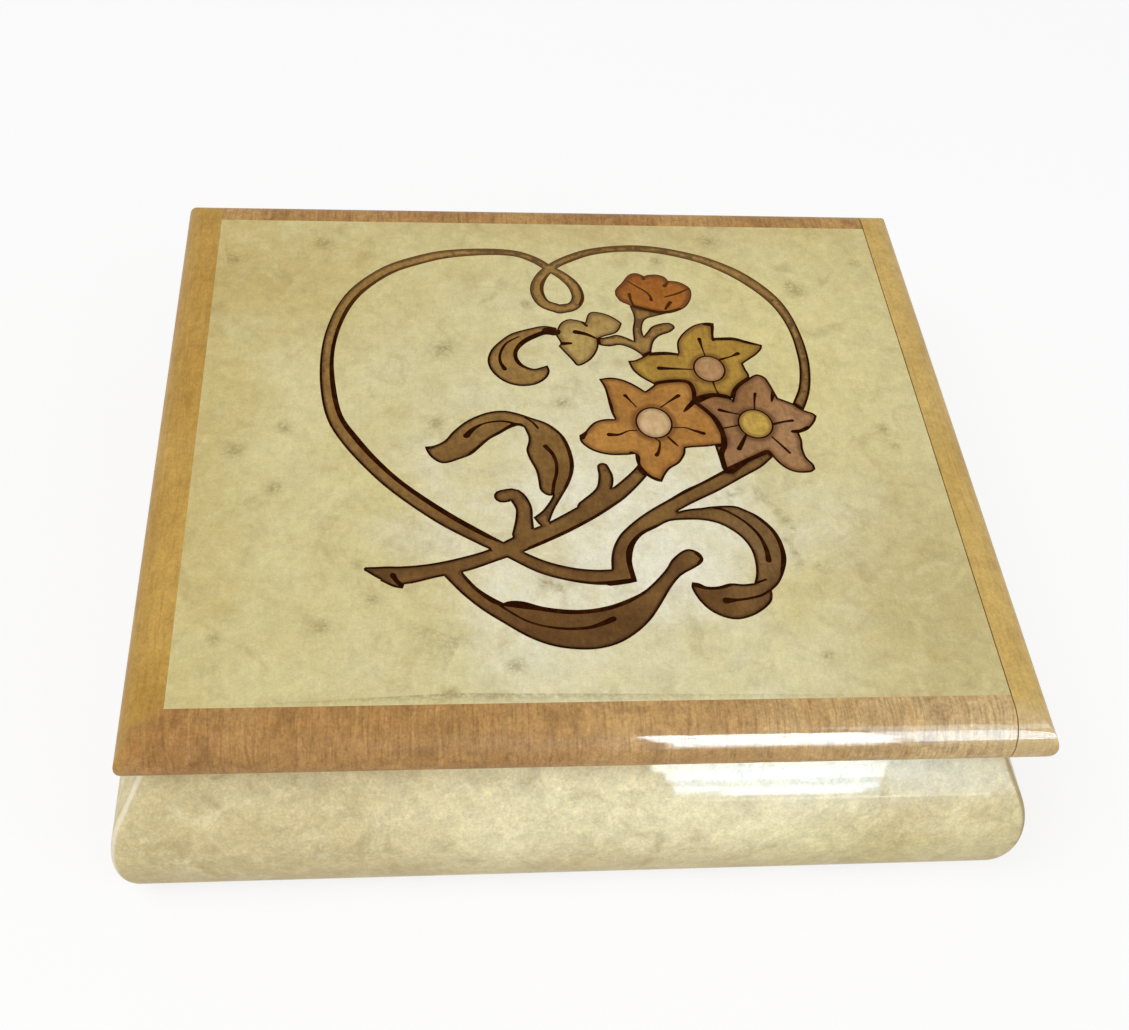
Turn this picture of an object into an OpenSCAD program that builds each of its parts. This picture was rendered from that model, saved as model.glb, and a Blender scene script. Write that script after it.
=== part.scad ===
// Inlaid wooden puzzle box. A bombe body with mitred walls carries a hinged lid.
// The lid's right-hand edge rail slides and works two headed pins that lock the lid.
// Frame: origin at the bottom centre of the body, +Z up, -Y front, +X right. Millimetres.

/* [Lid] */
// Width of the lid over its rounded edges, along X
lid_w = 140; // [120:1:180]
// Depth of the lid over its rounded edges, along Y
lid_d = 127.5; // [115:0.5:170]
// Thickness of the lid; its edges are full half-rounds of this thickness
lid_t = 10; // [9:0.5:14]
// Width of the amber border around the veneered field
border_w = 7; // [6.5:0.5:10]
// Thickness of the veneer and of the pieces inlaid in it
veneer_t = 0.8; // [0.6:0.1:1.2]
// How far the lid sits to the right of the body's middle
lid_shift = 1.25; // [0:0.05:1.5]

/* [Body] */
// Height of the body without the lid
body_h = 31; // [28:0.5:45]
// How far the top of a wall stands in from the lid's edge
top_inset = 4.6; // [4:0.1:5.5]
// How far a wall's widest line stands out from the lid's edge
bulge = 1.9; // [1:0.1:4]
// How far the foot of a wall stands in from the lid's edge
base_inset = 3.9; // [3:0.1:5]
// Height of a wall's widest line
bulge_z = 12.6; // [9:0.1:16]
// Thickness of a wall at its top
wall_top_t = 7; // [7:0.5:9]
// Thickness of the base panel
base_t = 3; // [2:0.5:4]
// Height of the base panel's underside
base_z = 2; // [1.5:0.5:4]
// How far the base panel is let into the walls
base_groove = 2; // [1:0.5:3]

/* [Linings] */
// Thickness of the velvet linings
lining_t = 1.2; // [0.8:0.1:2]
// How far the side linings stop below the top of the walls
lining_drop = 3; // [2.5:0.5:6]
// Thickness of the felt under the base panel
felt_t = 1; // [0.5:0.1:1.4]
// Space left around the lid's lining inside the walls
lid_lining_gap = 2.5; // [2:0.1:5]

/* [Sliding rail] */
// How far the rail slides to the front
rail_travel = 9; // [6:0.5:12]
// Space between the rail and the lid it slides along
rail_gap = 0.2; // [0.1:0.05:0.3]
// Thickness of the tongue's neck
neck_t = 2.8; // [2:0.1:3]
// Width of the tongue's neck inside the groove
neck_w = 1.2; // [0.8:0.1:1.4]
// Thickness of the tongue's head
head_t = 5.2; // [4:0.1:5.6]
// Width of the tongue's head
head_w = 3; // [2.5:0.1:3.2]
// Space all round the tongue in its groove
tongue_clear = 0.15; // [0.1:0.05:0.25]
// Distance of the tongue's back end from the back strip
tongue_stop = 12; // [8:0.5:20]

/* [Lock] */
// Radius of a locking pin's shank
pin_r = 0.8; // [0.6:0.1:1]
// Radius of a locking pin's head
pin_head_r = 1.6; // [1.4:0.1:1.8]
// Height of a locking pin's head
pin_head_h = 1.2; // [0.8:0.1:1.6]
// Distance of the keeper plate from the inner face of the front wall
keeper_inset = 2.5; // [2:0.5:6]
// Distance between the two locking pins
pin_pitch = 24; // [22:1:26]
// Radial space around a pin's shank in a slot
slot_clear = 0.3; // [0.25:0.05:0.5]
// Space around a pin's head in its keyhole and pocket
head_clear = 0.4; // [0.3:0.05:0.5]
// Thickness of the keeper plate
keeper_t = 1; // [0.8:0.1:1.5]
// Width of the keeper plate
keeper_w = 5.4; // [5:0.1:5.6]
// Distance from a keyhole's end to the next keeper screw
keeper_end = 5; // [4:0.5:6]

/* [Hinges] */
// Length of a hinge
hinge_w = 22; // [16:1:30]
// Distance of each hinge's middle from the end of the lid
hinge_inset = 32; // [25:1:38]
// Radius of the hinge knuckles
knuckle_r = 1.7; // [1.4:0.1:1.9]
// Radius of the hinge pins
hinge_pin_r = 0.8; // [0.6:0.1:0.9]
// Running clearance of a hinge pin in the lid's knuckle
hinge_fit = 0.05; // [0.02:0.01:0.08]
// How far the hinge line stands behind the wall's top edge
hinge_out = 3; // [2.8:0.1:3.4]
// Depth of a hinge leaf from the hinge line
leaf_d = 9; // [8.8:0.1:9.6]
// Thickness of a hinge leaf
leaf_t = 0.8; // [0.6:0.1:1]
// Space between knuckles, and around them in the wood
knuckle_gap = 0.3; // [0.2:0.05:0.4]
// Distance of the leaf screws from the hinge line
leaf_screw_y = 6.8; // [6.4:0.1:7]
// Distance of the leaf screws from the middle of a hinge
leaf_screw_x = 7; // [5:0.5:9]

/* [Screws] */
// Radius of a screw's countersunk head
screw_head_r = 1.5; // [1.2:0.1:1.6]
// Radius of a screw's shank
screw_r = 0.7; // [0.5:0.1:0.8]
// Length of a screw
screw_l = 6; // [4:0.5:7]
// Width and depth of the slot in a screw's head
screw_slot = 0.35; // [0.2:0.05:0.4]

/* [Hidden] */

$fn = 48;
slack = 1; // overrun of a cutting tool past the face that it cuts

// Body plan: half sizes at the lid's edge and at the walls' inner faces
half_w = lid_w / 2;
half_d = lid_d / 2;
inner_w = half_w - top_inset - wall_top_t;
inner_d = half_d - top_inset - wall_top_t;
floor_z = base_z + base_t;
side_lining_z = floor_z + lining_t;
side_lining_h = body_h - lining_drop - side_lining_z;

// Lid plan: half sizes of the veneered field
field_w = half_w - border_w;
field_d = half_d - border_w;

// Rail: tongue and groove along the field's right-hand edge
tongue_front = rail_travel + tongue_clear - field_d;
tongue_back = field_d - tongue_stop;
pin_x = field_w - neck_w - head_w / 2;
pin_top = (lid_t - head_t) / 2;
pin_drop = keeper_t + head_clear + pin_head_h;
pin_stud = 2;

// Keeper: one plate with a keyhole for each pin
keyhole_r = pin_head_r + head_clear;
slot_r = pin_r + slot_clear;
pocket_depth = pin_drop + head_clear;
keeper_x = pin_x + lid_shift;
keeper_edge = screw_head_r + 1;
keeper_front = keeper_inset + keeper_edge - inner_d;
front_pin_y = keeper_front + keeper_end + slot_r + rail_travel;
pin_ys = [front_pin_y, front_pin_y + pin_pitch];
keeper_back = pin_ys[1] + keyhole_r + keeper_end;
keeper_mid = (pin_ys[0] + keyhole_r + pin_ys[1] - rail_travel - slot_r) / 2;
keeper_screw_ys = [keeper_front, keeper_mid, keeper_back];

// Hinge line, on the plane where lid and walls meet
hinge_y = half_d - top_inset + hinge_out;
knuckle_w = hinge_w / 3;
hinge_x = half_w - hinge_inset;
hinge_xs = [-hinge_x, hinge_x];

// ---- Profile of a wall: a slope that runs into an elliptic underside ----

under_rx = bulge + base_inset;
top_dx = (base_inset - top_inset) / under_rx;
top_dz = (body_h - bulge_z) / bulge_z;
tangent = atan2(top_dz, top_dx) - acos(1 / norm([top_dx, top_dz]));
under_steps = 16;

// Outline of the wall, with X measured outward from the lid's edge and Y up
function wall_outline() = concat(
  [[-top_inset - wall_top_t, 0]],
  [for (i = [0:under_steps])
    let (a = -90 + (tangent + 90) * i / under_steps)
    [under_rx * cos(a) - base_inset, bulge_z * (1 + sin(a))]],
  [[-top_inset, body_h], [-top_inset - wall_top_t, body_h]]
);

// A wall that faces +Y, mitred at both ends
module mitred_wall(half_l, half_r) {
  reach = bulge + slack;
  inset = top_inset + wall_top_t;
  difference() {
    intersection() {
      translate([-half_l - reach, half_r, 0])
        rotate([90, 0, 90])
          linear_extrude(2 * (half_l + reach)) polygon(wall_outline());
      linear_extrude(body_h) polygon([
        [inset - half_l, half_r - inset], [half_l - inset, half_r - inset],
        [half_l + reach, half_r + reach], [-half_l - reach, half_r + reach]
      ]);
    }
    base_slab(half_l - inset + base_groove, half_r - inset + base_groove, slack);
  }
}

// The base panel's slab, longer by extra at the ends of a groove
module base_slab(half_x, half_y, extra = 0) {
  translate([-half_x - extra, -half_y, base_z]) cube([2 * (half_x + extra), 2 * half_y, base_t]);
}

// A flat plate centred on the Z axis
module plate(x, y, z, t) {
  translate([-x / 2, -y / 2, z]) cube([x, y, t]);
}

// ---- Screws and hinges ----

// A countersunk screw with its head's face at z = 0, pointing down
module screw_body() {
  sink = screw_head_r - screw_r;
  translate([0, 0, -sink]) cylinder(r1 = screw_r, r2 = screw_head_r, h = sink);
  translate([0, 0, -screw_l]) cylinder(r = screw_r, h = screw_l);
}

module screw() {
  difference() {
    screw_body();
    plate(2 * screw_head_r + slack, screw_slot, -screw_slot, screw_slot + slack);
  }
}

// Places for the two screws of each hinge
module leaf_screw_places() {
  for (x = hinge_xs, s = [-1, 1])
    translate([x + s * leaf_screw_x, hinge_y - leaf_screw_y, body_h]) children();
}

// Cylinder along X around the hinge line, from x0, of length l
module hinge_rod(x0, l, r) {
  translate([x0, hinge_y, body_h]) rotate([0, 90, 0]) cylinder(r = r, h = l);
}

// Leaf recess in the wood; up = 1 for the lid, -1 for the walls
module leaf_recess(x, up) {
  z = up > 0 ? -slack : -leaf_t;
  translate([x - hinge_w / 2, hinge_y - leaf_d, body_h + z])
    cube([hinge_w, leaf_d + slack, leaf_t + slack]);
}

// One leaf of the hinge at x; the walls' leaf holds the two outer knuckles
module leaf(x, up, bore_r) {
  outer = up < 0;
  x0 = x - hinge_w / 2;
  half_gap = knuckle_gap / 2;
  // starts and lengths of this leaf's own knuckles and of the other leaf's
  ends = [for (k = [0, 2]) [x0 + k * (knuckle_w + half_gap / 2), knuckle_w - half_gap]];
  middle = [[x0 + knuckle_w + half_gap, knuckle_w - knuckle_gap]];
  own = outer ? ends : middle;
  other = outer ? middle : ends;
  difference() {
    union() {
      translate([x0, hinge_y - leaf_d, body_h - (outer ? leaf_t : 0)])
        cube([hinge_w, leaf_d, leaf_t]);
      for (k = own) hinge_rod(k[0], k[1], knuckle_r);
    }
    for (k = other) hinge_rod(k[0] - knuckle_gap, k[1] + 2 * knuckle_gap, knuckle_r + knuckle_gap);
    hinge_rod(x0 - slack, hinge_w + 2 * slack, bore_r);
    leaf_screw_places() mirror([0, 0, outer ? 0 : 1]) screw_body();
  }
}

// ---- Lid blanks ----

// A bar along X with half-round long edges, depth d over them
module nosed_bar(l, d) {
  r = lid_t / 2;
  translate([-l / 2, 0, 0]) {
    for (s = [-1, 1]) translate([0, s * (d / 2 - r), r]) rotate([0, 90, 0]) cylinder(r = r, h = l);
    translate([0, r - d / 2, 0]) cube([l, d - 2 * r, lid_t]);
  }
}

// The whole lid's outer form: half-round edges that meet in mitres
module lid_blank() {
  intersection() {
    nosed_bar(lid_w, lid_d);
    rotate([0, 0, 90]) nosed_bar(lid_d, lid_w);
  }
}

// Moves lid parts from the lid's own frame to their place on the body
module on_body() {
  translate([lid_shift, 0, body_h]) children();
}

// Section of the tongue, or with clear > 0 of its groove
module tongue_section(clear) {
  neck_h = neck_t + 2 * clear;
  head_h = head_t + 2 * clear;
  translate([field_w - neck_w - slack, (lid_t - neck_h) / 2])
    square([neck_w + slack + rail_gap + (clear > 0 ? 0 : slack), neck_h]);
  translate([field_w - neck_w - head_w - clear, (lid_t - head_h) / 2])
    square([head_w + 2 * clear, head_h]);
}

// Tongue or groove between y0 and y1
module tongue(y0, y1, clear) {
  translate([0, y1, 0]) rotate([90, 0, 0]) linear_extrude(y1 - y0) tongue_section(clear);
}

// Slot of half width r from a pin's rest place to the end of its travel
module travel_slot(r, z, h) {
  translate([0, 0, z]) {
    cylinder(r = r, h = h);
    translate([0, -rail_travel, 0]) cylinder(r = r, h = h);
    translate([-r, -rail_travel, 0]) cube([2 * r, rail_travel, h]);
  }
}

// ---- Inlay drawing, in the lid's own frame seen from above ----

// Sizes of the drawing as designed; it follows the field when the lid changes
drawn_w = 63;
drawn_d = 56.75;
ribbon_steps = 6;
petal_steps = 14;

// Catmull-Rom blend of four points
function blend(a, b, c, d, t) =
  b + 0.5 * t * (c - a + t * (2 * a - 5 * b + 4 * c - d + t * (3 * (b - c) + d - a)));

// Smooth line through points [x, y, width]
function smooth(p) = let (n = len(p) - 1) concat(
  [for (i = [0:n - 1], k = [0:ribbon_steps - 1])
    blend(p[max(i - 1, 0)], p[i], p[i + 1], p[min(i + 2, n)], k / ribbon_steps)],
  [p[n]]
);

// Point at half the width from point i of the line s, turned by the angle turn from its course
function beside(s, i, turn) =
  let (a = s[max(i - 1, 0)], b = s[min(i + 1, len(s) - 1)], course = atan2(b[1] - a[1], b[0] - a[0]))
  [s[i][0], s[i][1]] + s[i][2] / 2 * [cos(course + turn), sin(course + turn)];

// A round-ended stem or leaf that follows hand-set points and widths
module ribbon(p) {
  s = smooth(p);
  n = len(s) - 1;
  polygon(concat(
    [for (i = [0:n]) beside(s, i, 90)], [for (turn = [60, 30, 0, -30, -60]) beside(s, n, turn)],
    [for (i = [n:-1:0]) beside(s, i, -90)], [for (turn = [-120, -150, 180, 150, 120]) beside(s, 0, turn)]
  ));
}

// Heart-shaped stem: the right lobe and half the loop, then the rest down to the crossing
heart_right = [
  [41, 4, 1.6], [43.6, 13, 1.9], [43.4, 24, 1.9], [39.8, 36, 2], [32, 44.4, 1.9], [22, 49, 1.8],
  [12, 48.8, 1.7], [4, 45.2, 1.5], [-0.8, 41.4, 1.5], [-3.7, 37, 1.9], [-3, 32.8, 2.2], [0.4, 31.2, 2.2]
];
heart_left = [
  [0.2, 31.2, 2.2], [3.4, 33, 2.1], [3.8, 37, 1.8], [1, 41.6, 1.5], [-5, 45.8, 1.6], [-14, 47.8, 1.9],
  [-25, 45.8, 2.1], [-35, 39, 2.2], [-41, 27.5, 2.2], [-42, 14, 2.2], [-39, 0.5, 2.2],
  [-31, -11.6, 2], [-21.6, -20.2, 1.8], [-12.8, -26.6, 1.8], [-4, -31.2, 2], [3, -32.6, 2.4], [7.6, -32, 1.6]
];
// Stem from the tail tip to the orange flower
main_stem = [
  [-34, -30.6, 0.6], [-29, -32, 3], [-23.4, -31, 2.2], [-17, -28.8, 1.8], [-11, -25.6, 2.8],
  [-3, -21.2, 3], [4.5, -15.8, 2.2], [12, -7, 1.6]
];
// Stem from the heart's foot to the mauve flower
side_stem = [
  [6.8, -32.8, 1.4], [6, -27.6, 2.2], [9, -22.4, 2.2], [16, -18, 1.8], [24, -13.6, 1.5], [34, -5, 1.4]
];
// Scroll leaf at the right and the leaf at its end
right_scroll = [
  [13, -19.4, 1.2], [20, -18.8, 2.4], [27, -20.8, 3.4], [31, -26.6, 3.6], [30, -32, 2.4], [27.5, -35.2, 1.6]
];
right_leaf = [[16.8, -34.6, 0.8], [19.5, -36.8, 4], [24, -37.8, 5.6], [28, -36, 3.2], [29.6, -34, 0.8]];
// Long leaf at the bottom
bottom_leaf = [
  [-22.6, -31.6, 1], [-17.5, -36.6, 1.8], [-10, -41.4, 4.2], [-1.5, -43.2, 6.2], [6, -40.4, 4.8],
  [11.4, -34.4, 2.4], [14.8, -30, 2], [18, -28, 2.8]
];
// Bent leaf at the left and the small one inside it
left_leaf = [
  [-24.4, -5.6, 2.2], [-20, -3.8, 5], [-16, 0.8, 3.6], [-10.4, 3, 2.4], [-5.2, 0.8, 3],
  [-2.2, -5.4, 3.4], [-3, -13.4, 2.6], [-6.6, -21, 1.4]
];
left_leaflet = [[-6.4, 0.6, 0.6], [-6.9, -4, 2.4], [-5.4, -9.6, 3], [-4.6, -14.4, 0.8]];
// Curl beside the bud
curl = [
  [-1, 26.4, 1.2], [-6, 25, 2.8], [-10.4, 21.4, 3.8], [-11.2, 16.6, 3.8], [-8.2, 13.4, 3],
  [-5.4, 14, 2.4], [-4.2, 16, 0.8]
];
// Short sprouts and the stems of the upper flowers
sprouts = [
  [[-8.6, -22, 3.4], [-8.6, -17.4, 2], [-10.6, -14.6, 2], [-13, -15.8, 2.6]],
  [[1.6, -17, 1.4], [4.8, -14, 1.9], [5.3, -10.8, 1.8], [4.2, -8, 1]],
  [[17, 17, 1.6], [14.9, 21.4, 1.9], [14.3, 26.4, 1.8], [14.8, 32.4, 2.8]],
  [[14.8, 22, 1.4], [16.8, 26, 1.8], [20.6, 27.2, 1.4]],
  [[16, 20.6, 1.6], [11.6, 22.8, 2.2], [6.4, 22.6, 1.2]]
];

// Rounded petals with pointed tips; u runs from -1 to 1 across a petal
function petal_r(u, waist) = waist + (1 - waist) * pow(1 - abs(u), 0.62);

// A flower of n petals with one tip at the angle turn
module flower(at, r, n, turn, waist) {
  translate(at) polygon([for (i = [0:n - 1], k = [0:petal_steps - 1])
    let (u = 2 * k / petal_steps - 1, a = turn + (i + u / 2) * 360 / n)
    r * petal_r(u, waist) * [cos(a), sin(a)]]);
}

yellow_at = [25.4, 16];
yellow_turn = 76;
orange_at = [14.4, 1.6];
orange_turn = 52;
mauve_at = [32.6, 1.4];
mauve_turn = 82;
flower_r = 13;
flower_waist = 0.42;
centre_r = 2.8;
bud_at = [4.6, 24.2];
bud_turn = 36;
bud_r = 7.8;
bud_waist = 0.34;
carnation_at = [18.4, 36.4];
carnation_r = 6.1;
scallop = 1.1;
scallops = 7;
scallop_steps = 10;

module yellow_shape() { flower(yellow_at, flower_r, 5, yellow_turn, flower_waist); }
module orange_shape() { flower(orange_at, flower_r, 5, orange_turn, flower_waist); }
module mauve_shape() { flower(mauve_at, flower_r, 5, mauve_turn, flower_waist); }
module bud_shape() { flower(bud_at, bud_r, 3, bud_turn, bud_waist); }

// A carnation's head: a scalloped round, flatter below than above
module carnation_shape() {
  steps = scallops * scallop_steps;
  translate(carnation_at) polygon([for (k = [0:steps - 1])
    let (a = 360 * k / steps, r = carnation_r + scallop * abs(sin(a * scallops / 2)))
    [r * 1.05 * cos(a), r * sin(a) * (sin(a) < 0 ? 0.78 : 0.86)]]);
}

module centre_shape(at) { translate(at) circle(r = centre_r); }

module stems_shape() {
  ribbon(heart_right);
  ribbon(heart_left);
  ribbon(main_stem);
  ribbon(side_stem);
  ribbon(right_scroll);
  ribbon(right_leaf);
  ribbon(bottom_leaf);
  ribbon(left_leaf);
  ribbon(left_leaflet);
  ribbon(curl);
  for (p = sprouts) ribbon(p);
}

// Everything that is let into the veneer
module inlay_shape() {
  stems_shape();
  yellow_shape();
  orange_shape();
  mauve_shape();
  bud_shape();
  carnation_shape();
}

// A piece of veneer thickness at the lid's face, fitted to the field
module inlay_piece() {
  on_body() translate([0, 0, lid_t - veneer_t]) linear_extrude(veneer_t)
    scale(min(field_w / drawn_w, field_d / drawn_d)) children();
}

// ---- Body ----

module front_wall() color("burlywood") rotate([0, 0, 180]) mitred_wall(half_w, half_d);

module back_wall() color("burlywood") difference() {
  mitred_wall(half_w, half_d);
  for (x = hinge_xs) leaf_recess(x, -1);
  leaf_screw_places() screw_body();
}

module left_wall() color("burlywood") rotate([0, 0, 90]) mitred_wall(half_d, half_w);

module right_wall() color("burlywood") difference() {
  rotate([0, 0, -90]) mitred_wall(half_d, half_w);
  translate([keeper_x - keeper_w / 2, keeper_front - keeper_edge, body_h - keeper_t])
    cube([keeper_w, keeper_back - keeper_front + 2 * keeper_edge, keeper_t + slack]);
  for (y = pin_ys) translate([keeper_x, y, 0])
    travel_slot(keyhole_r, body_h - pocket_depth, pocket_depth);
  keeper_screw_places() screw_body();
}

module base_panel() color("sienna")
  base_slab(inner_w + base_groove, inner_d + base_groove);

module base_felt() color("darkolivegreen")
  plate(2 * inner_w, 2 * inner_d, base_z - felt_t, felt_t);

module floor_lining() color("darkred")
  plate(2 * inner_w, 2 * inner_d, floor_z, lining_t);

// Lining on the wall that faces +Y
module end_lining() {
  translate([-inner_w, inner_d - lining_t, side_lining_z])
    cube([2 * inner_w, lining_t, side_lining_h]);
}

// Lining on the wall that faces +X
module side_lining() {
  translate([inner_w - lining_t, lining_t - inner_d, side_lining_z])
    cube([lining_t, 2 * (inner_d - lining_t), side_lining_h]);
}

module front_lining() color("darkred") mirror([0, 1, 0]) end_lining();
module back_lining() color("darkred") end_lining();
module left_lining() color("darkred") mirror([1, 0, 0]) side_lining();
module right_lining() color("darkred") side_lining();

// ---- Lock ----

module keeper_screw_places() {
  for (y = keeper_screw_ys) translate([keeper_x, y, body_h]) children();
}

module keeper_plate() color("goldenrod") difference() {
  translate([keeper_x - keeper_w / 2, keeper_front - keeper_edge, body_h - keeper_t])
    cube([keeper_w, keeper_back - keeper_front + 2 * keeper_edge, keeper_t]);
  for (y = pin_ys) translate([keeper_x, y, body_h - keeper_t - slack]) {
    cylinder(r = keyhole_r, h = keeper_t + 2 * slack);
    travel_slot(slot_r, 0, keeper_t + 2 * slack);
  }
  keeper_screw_places() screw_body();
}

module keeper_screws() color("goldenrod") keeper_screw_places() screw();

// Two pins screwed up into the tongue, with their heads down in the right wall
module locking_pins() color("goldenrod") on_body() for (y = pin_ys) translate([pin_x, y, 0]) {
  translate([0, 0, -pin_drop]) cylinder(r = pin_head_r, h = pin_head_h);
  translate([0, 0, -pin_drop]) cylinder(r = pin_r, h = pin_drop + pin_top + pin_stud);
}

// ---- Hinges ----

module body_leaf_left() color("goldenrod") leaf(-hinge_x, -1, hinge_pin_r);
module body_leaf_right() color("goldenrod") leaf(hinge_x, -1, hinge_pin_r);
module lid_leaf_left() color("goldenrod") leaf(-hinge_x, 1, hinge_pin_r + hinge_fit);
module lid_leaf_right() color("goldenrod") leaf(hinge_x, 1, hinge_pin_r + hinge_fit);
module body_leaf_screws() color("goldenrod") leaf_screw_places() screw();
module lid_leaf_screws() color("goldenrod") leaf_screw_places() mirror([0, 0, 1]) screw();

module hinge_pins() color("goldenrod")
  for (x = hinge_xs) hinge_rod(x - hinge_w / 2, hinge_w, hinge_pin_r);

// ---- Lid ----

module lid_core() color("peru") difference() {
  on_body() plate(2 * field_w, 2 * field_d, 0, lid_t - veneer_t);
  on_body() tongue(-field_d - slack, tongue_back + tongue_clear, tongue_clear);
  for (y = pin_ys) translate([pin_x + lid_shift, y, body_h]) travel_slot(slot_r, -slack, slack + pin_top);
  for (x = hinge_xs) leaf_recess(x, 1);
  leaf_screw_places() mirror([0, 0, 1]) screw_body();
}

module lid_veneer() color("khaki") difference() {
  on_body() plate(2 * field_w, 2 * field_d, lid_t - veneer_t, veneer_t);
  on_body() translate([0, 0, lid_t - veneer_t - slack]) linear_extrude(veneer_t + 2 * slack)
    scale(min(field_w / drawn_w, field_d / drawn_d)) inlay_shape();
}

// A strip of border between the two rails, at the front or at the back
module border_strip(side) {
  on_body() intersection() {
    lid_blank();
    translate([-field_w, side > 0 ? field_d : -half_d, 0]) cube([2 * field_w, border_w, lid_t]);
  }
}

module front_strip() color("peru") border_strip(-1);

module back_strip() color("peru") difference() {
  border_strip(1);
  for (x = hinge_xs) {
    leaf_recess(x, 1);
    hinge_rod(x - hinge_w / 2 - knuckle_gap, hinge_w + 2 * knuckle_gap, knuckle_r + knuckle_gap);
  }
}

module left_rail() color("peru") on_body() intersection() {
  lid_blank();
  translate([-half_w, -half_d, 0]) cube([border_w, lid_d, lid_t]);
}

module lid_lining() color("darkred")
  plate(2 * (inner_w - lid_lining_gap), 2 * (inner_d - lid_lining_gap), body_h - lining_t, lining_t);

module vine_inlay() color("saddlebrown") inlay_piece() difference() {
  stems_shape();
  yellow_shape();
  orange_shape();
  mauve_shape();
  bud_shape();
  carnation_shape();
}

module yellow_flower() color("goldenrod") inlay_piece() difference() {
  yellow_shape();
  orange_shape();
  mauve_shape();
  centre_shape(yellow_at);
}

module orange_flower() color("sandybrown") inlay_piece() difference() {
  orange_shape();
  centre_shape(orange_at);
}

module mauve_flower() color("rosybrown") inlay_piece() difference() {
  mauve_shape();
  orange_shape();
  centre_shape(mauve_at);
}

module carnation_inlay() color("chocolate") inlay_piece() carnation_shape();
module bud_inlay() color("tan") inlay_piece() bud_shape();

module pink_centres() color("lightpink") inlay_piece() {
  centre_shape(yellow_at);
  centre_shape(orange_at);
}

module yellow_centre() color("gold") inlay_piece() centre_shape(mauve_at);

// ---- Sliding rail ----

module slide_rail() color("chocolate") on_body() difference() {
  union() {
    intersection() {
      lid_blank();
      translate([field_w + rail_gap, -half_d, 0]) cube([border_w, lid_d, lid_t]);
    }
    tongue(tongue_front, tongue_back, 0);
  }
  for (y = pin_ys) translate([pin_x, y, -slack]) cylinder(r = pin_r, h = slack + pin_top + pin_stud);
}

front_wall();
back_wall();
left_wall();
right_wall();
base_panel();
base_felt();
floor_lining();
front_lining();
back_lining();
left_lining();
right_lining();
keeper_plate();
keeper_screws();
body_leaf_left();
body_leaf_right();
body_leaf_screws();
hinge_pins();
lid_leaf_left();
lid_leaf_right();
lid_leaf_screws();
lid_core();
lid_veneer();
front_strip();
back_strip();
left_rail();
lid_lining();
vine_inlay();
yellow_flower();
orange_flower();
mauve_flower();
carnation_inlay();
bud_inlay();
pink_centres();
yellow_centre();
slide_rail();
locking_pins();
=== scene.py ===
"""Looks of the inlaid wooden puzzle box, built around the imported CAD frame."""
from math import acos, atan2, cos, hypot, pi, radians, sin

import bmesh
import bpy
import numpy as np
from mathutils import Matrix, Vector, noise
from mathutils.geometry import delaunay_2d_cdt


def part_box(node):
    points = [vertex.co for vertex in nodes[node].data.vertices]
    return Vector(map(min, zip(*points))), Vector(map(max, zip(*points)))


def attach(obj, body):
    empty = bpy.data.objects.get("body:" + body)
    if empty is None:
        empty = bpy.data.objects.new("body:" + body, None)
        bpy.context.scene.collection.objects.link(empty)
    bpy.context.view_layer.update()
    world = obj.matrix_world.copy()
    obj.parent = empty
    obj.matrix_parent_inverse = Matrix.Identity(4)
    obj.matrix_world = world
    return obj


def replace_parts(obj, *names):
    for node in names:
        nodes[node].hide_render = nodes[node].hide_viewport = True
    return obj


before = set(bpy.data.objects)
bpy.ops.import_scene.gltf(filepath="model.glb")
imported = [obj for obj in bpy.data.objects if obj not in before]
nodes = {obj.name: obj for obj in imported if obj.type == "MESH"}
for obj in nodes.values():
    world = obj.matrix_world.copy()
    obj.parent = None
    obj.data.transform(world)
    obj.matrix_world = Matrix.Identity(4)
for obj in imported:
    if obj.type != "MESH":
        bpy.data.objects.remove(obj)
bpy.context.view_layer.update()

MM = 0.001

# ---- Sizes of the object, in mm, as in the part ----

LID_SHIFT = 1.25        # how far the lid sits to the right of the body's middle
LID_T = 10.0            # lid thickness
BODY_H = 31.0           # height of the walls
TOP_INSET = 4.6         # wall top, in from the lid's edge
BULGE = 1.9             # widest line, out from the lid's edge
BASE_INSET = 3.9        # wall foot, in from the lid's edge
BULGE_Z = 12.6          # height of the widest line
WALL_TOP_T = 7.0        # wall thickness at the top
LEAF_T = 0.8            # hinge leaf thickness
TOP_Z = BODY_H + LID_T  # the lid's upper face
LINE_W = 0.42           # burnt line inside each inlaid piece's edge, at the front
LINE_W_BACK = 0.2       # the same towards the back of the lid
LINE_W_EYE = 0.17       # the same on both sides of an eye's edge


def node_mm(name):
    """A node's box in mm, as (low x, y, z), (high x, y, z)."""
    low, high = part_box(name)
    return tuple(v / MM for v in low), tuple(v / MM for v in high)


HALF_W = (node_mm("slide_rail")[1][0] - node_mm("left_rail")[0][0]) / 2
HALF_D = node_mm("back_strip")[1][1]
FIELD_HALF_W = (node_mm("lid_veneer")[1][0] - node_mm("lid_veneer")[0][0]) / 2
FIELD_HALF_D = node_mm("lid_veneer")[1][1]


# ---- Camera ----

IMAGE_W = 1129          # the photograph's width in pixels
FOCAL_PX = 1562.67
SENSOR = 36
CAMERA_MM = (-27.42, -189.05, 230.03)
YAW, PITCH, ROLL = radians(8.798), radians(47.806), radians(6.286)


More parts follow.
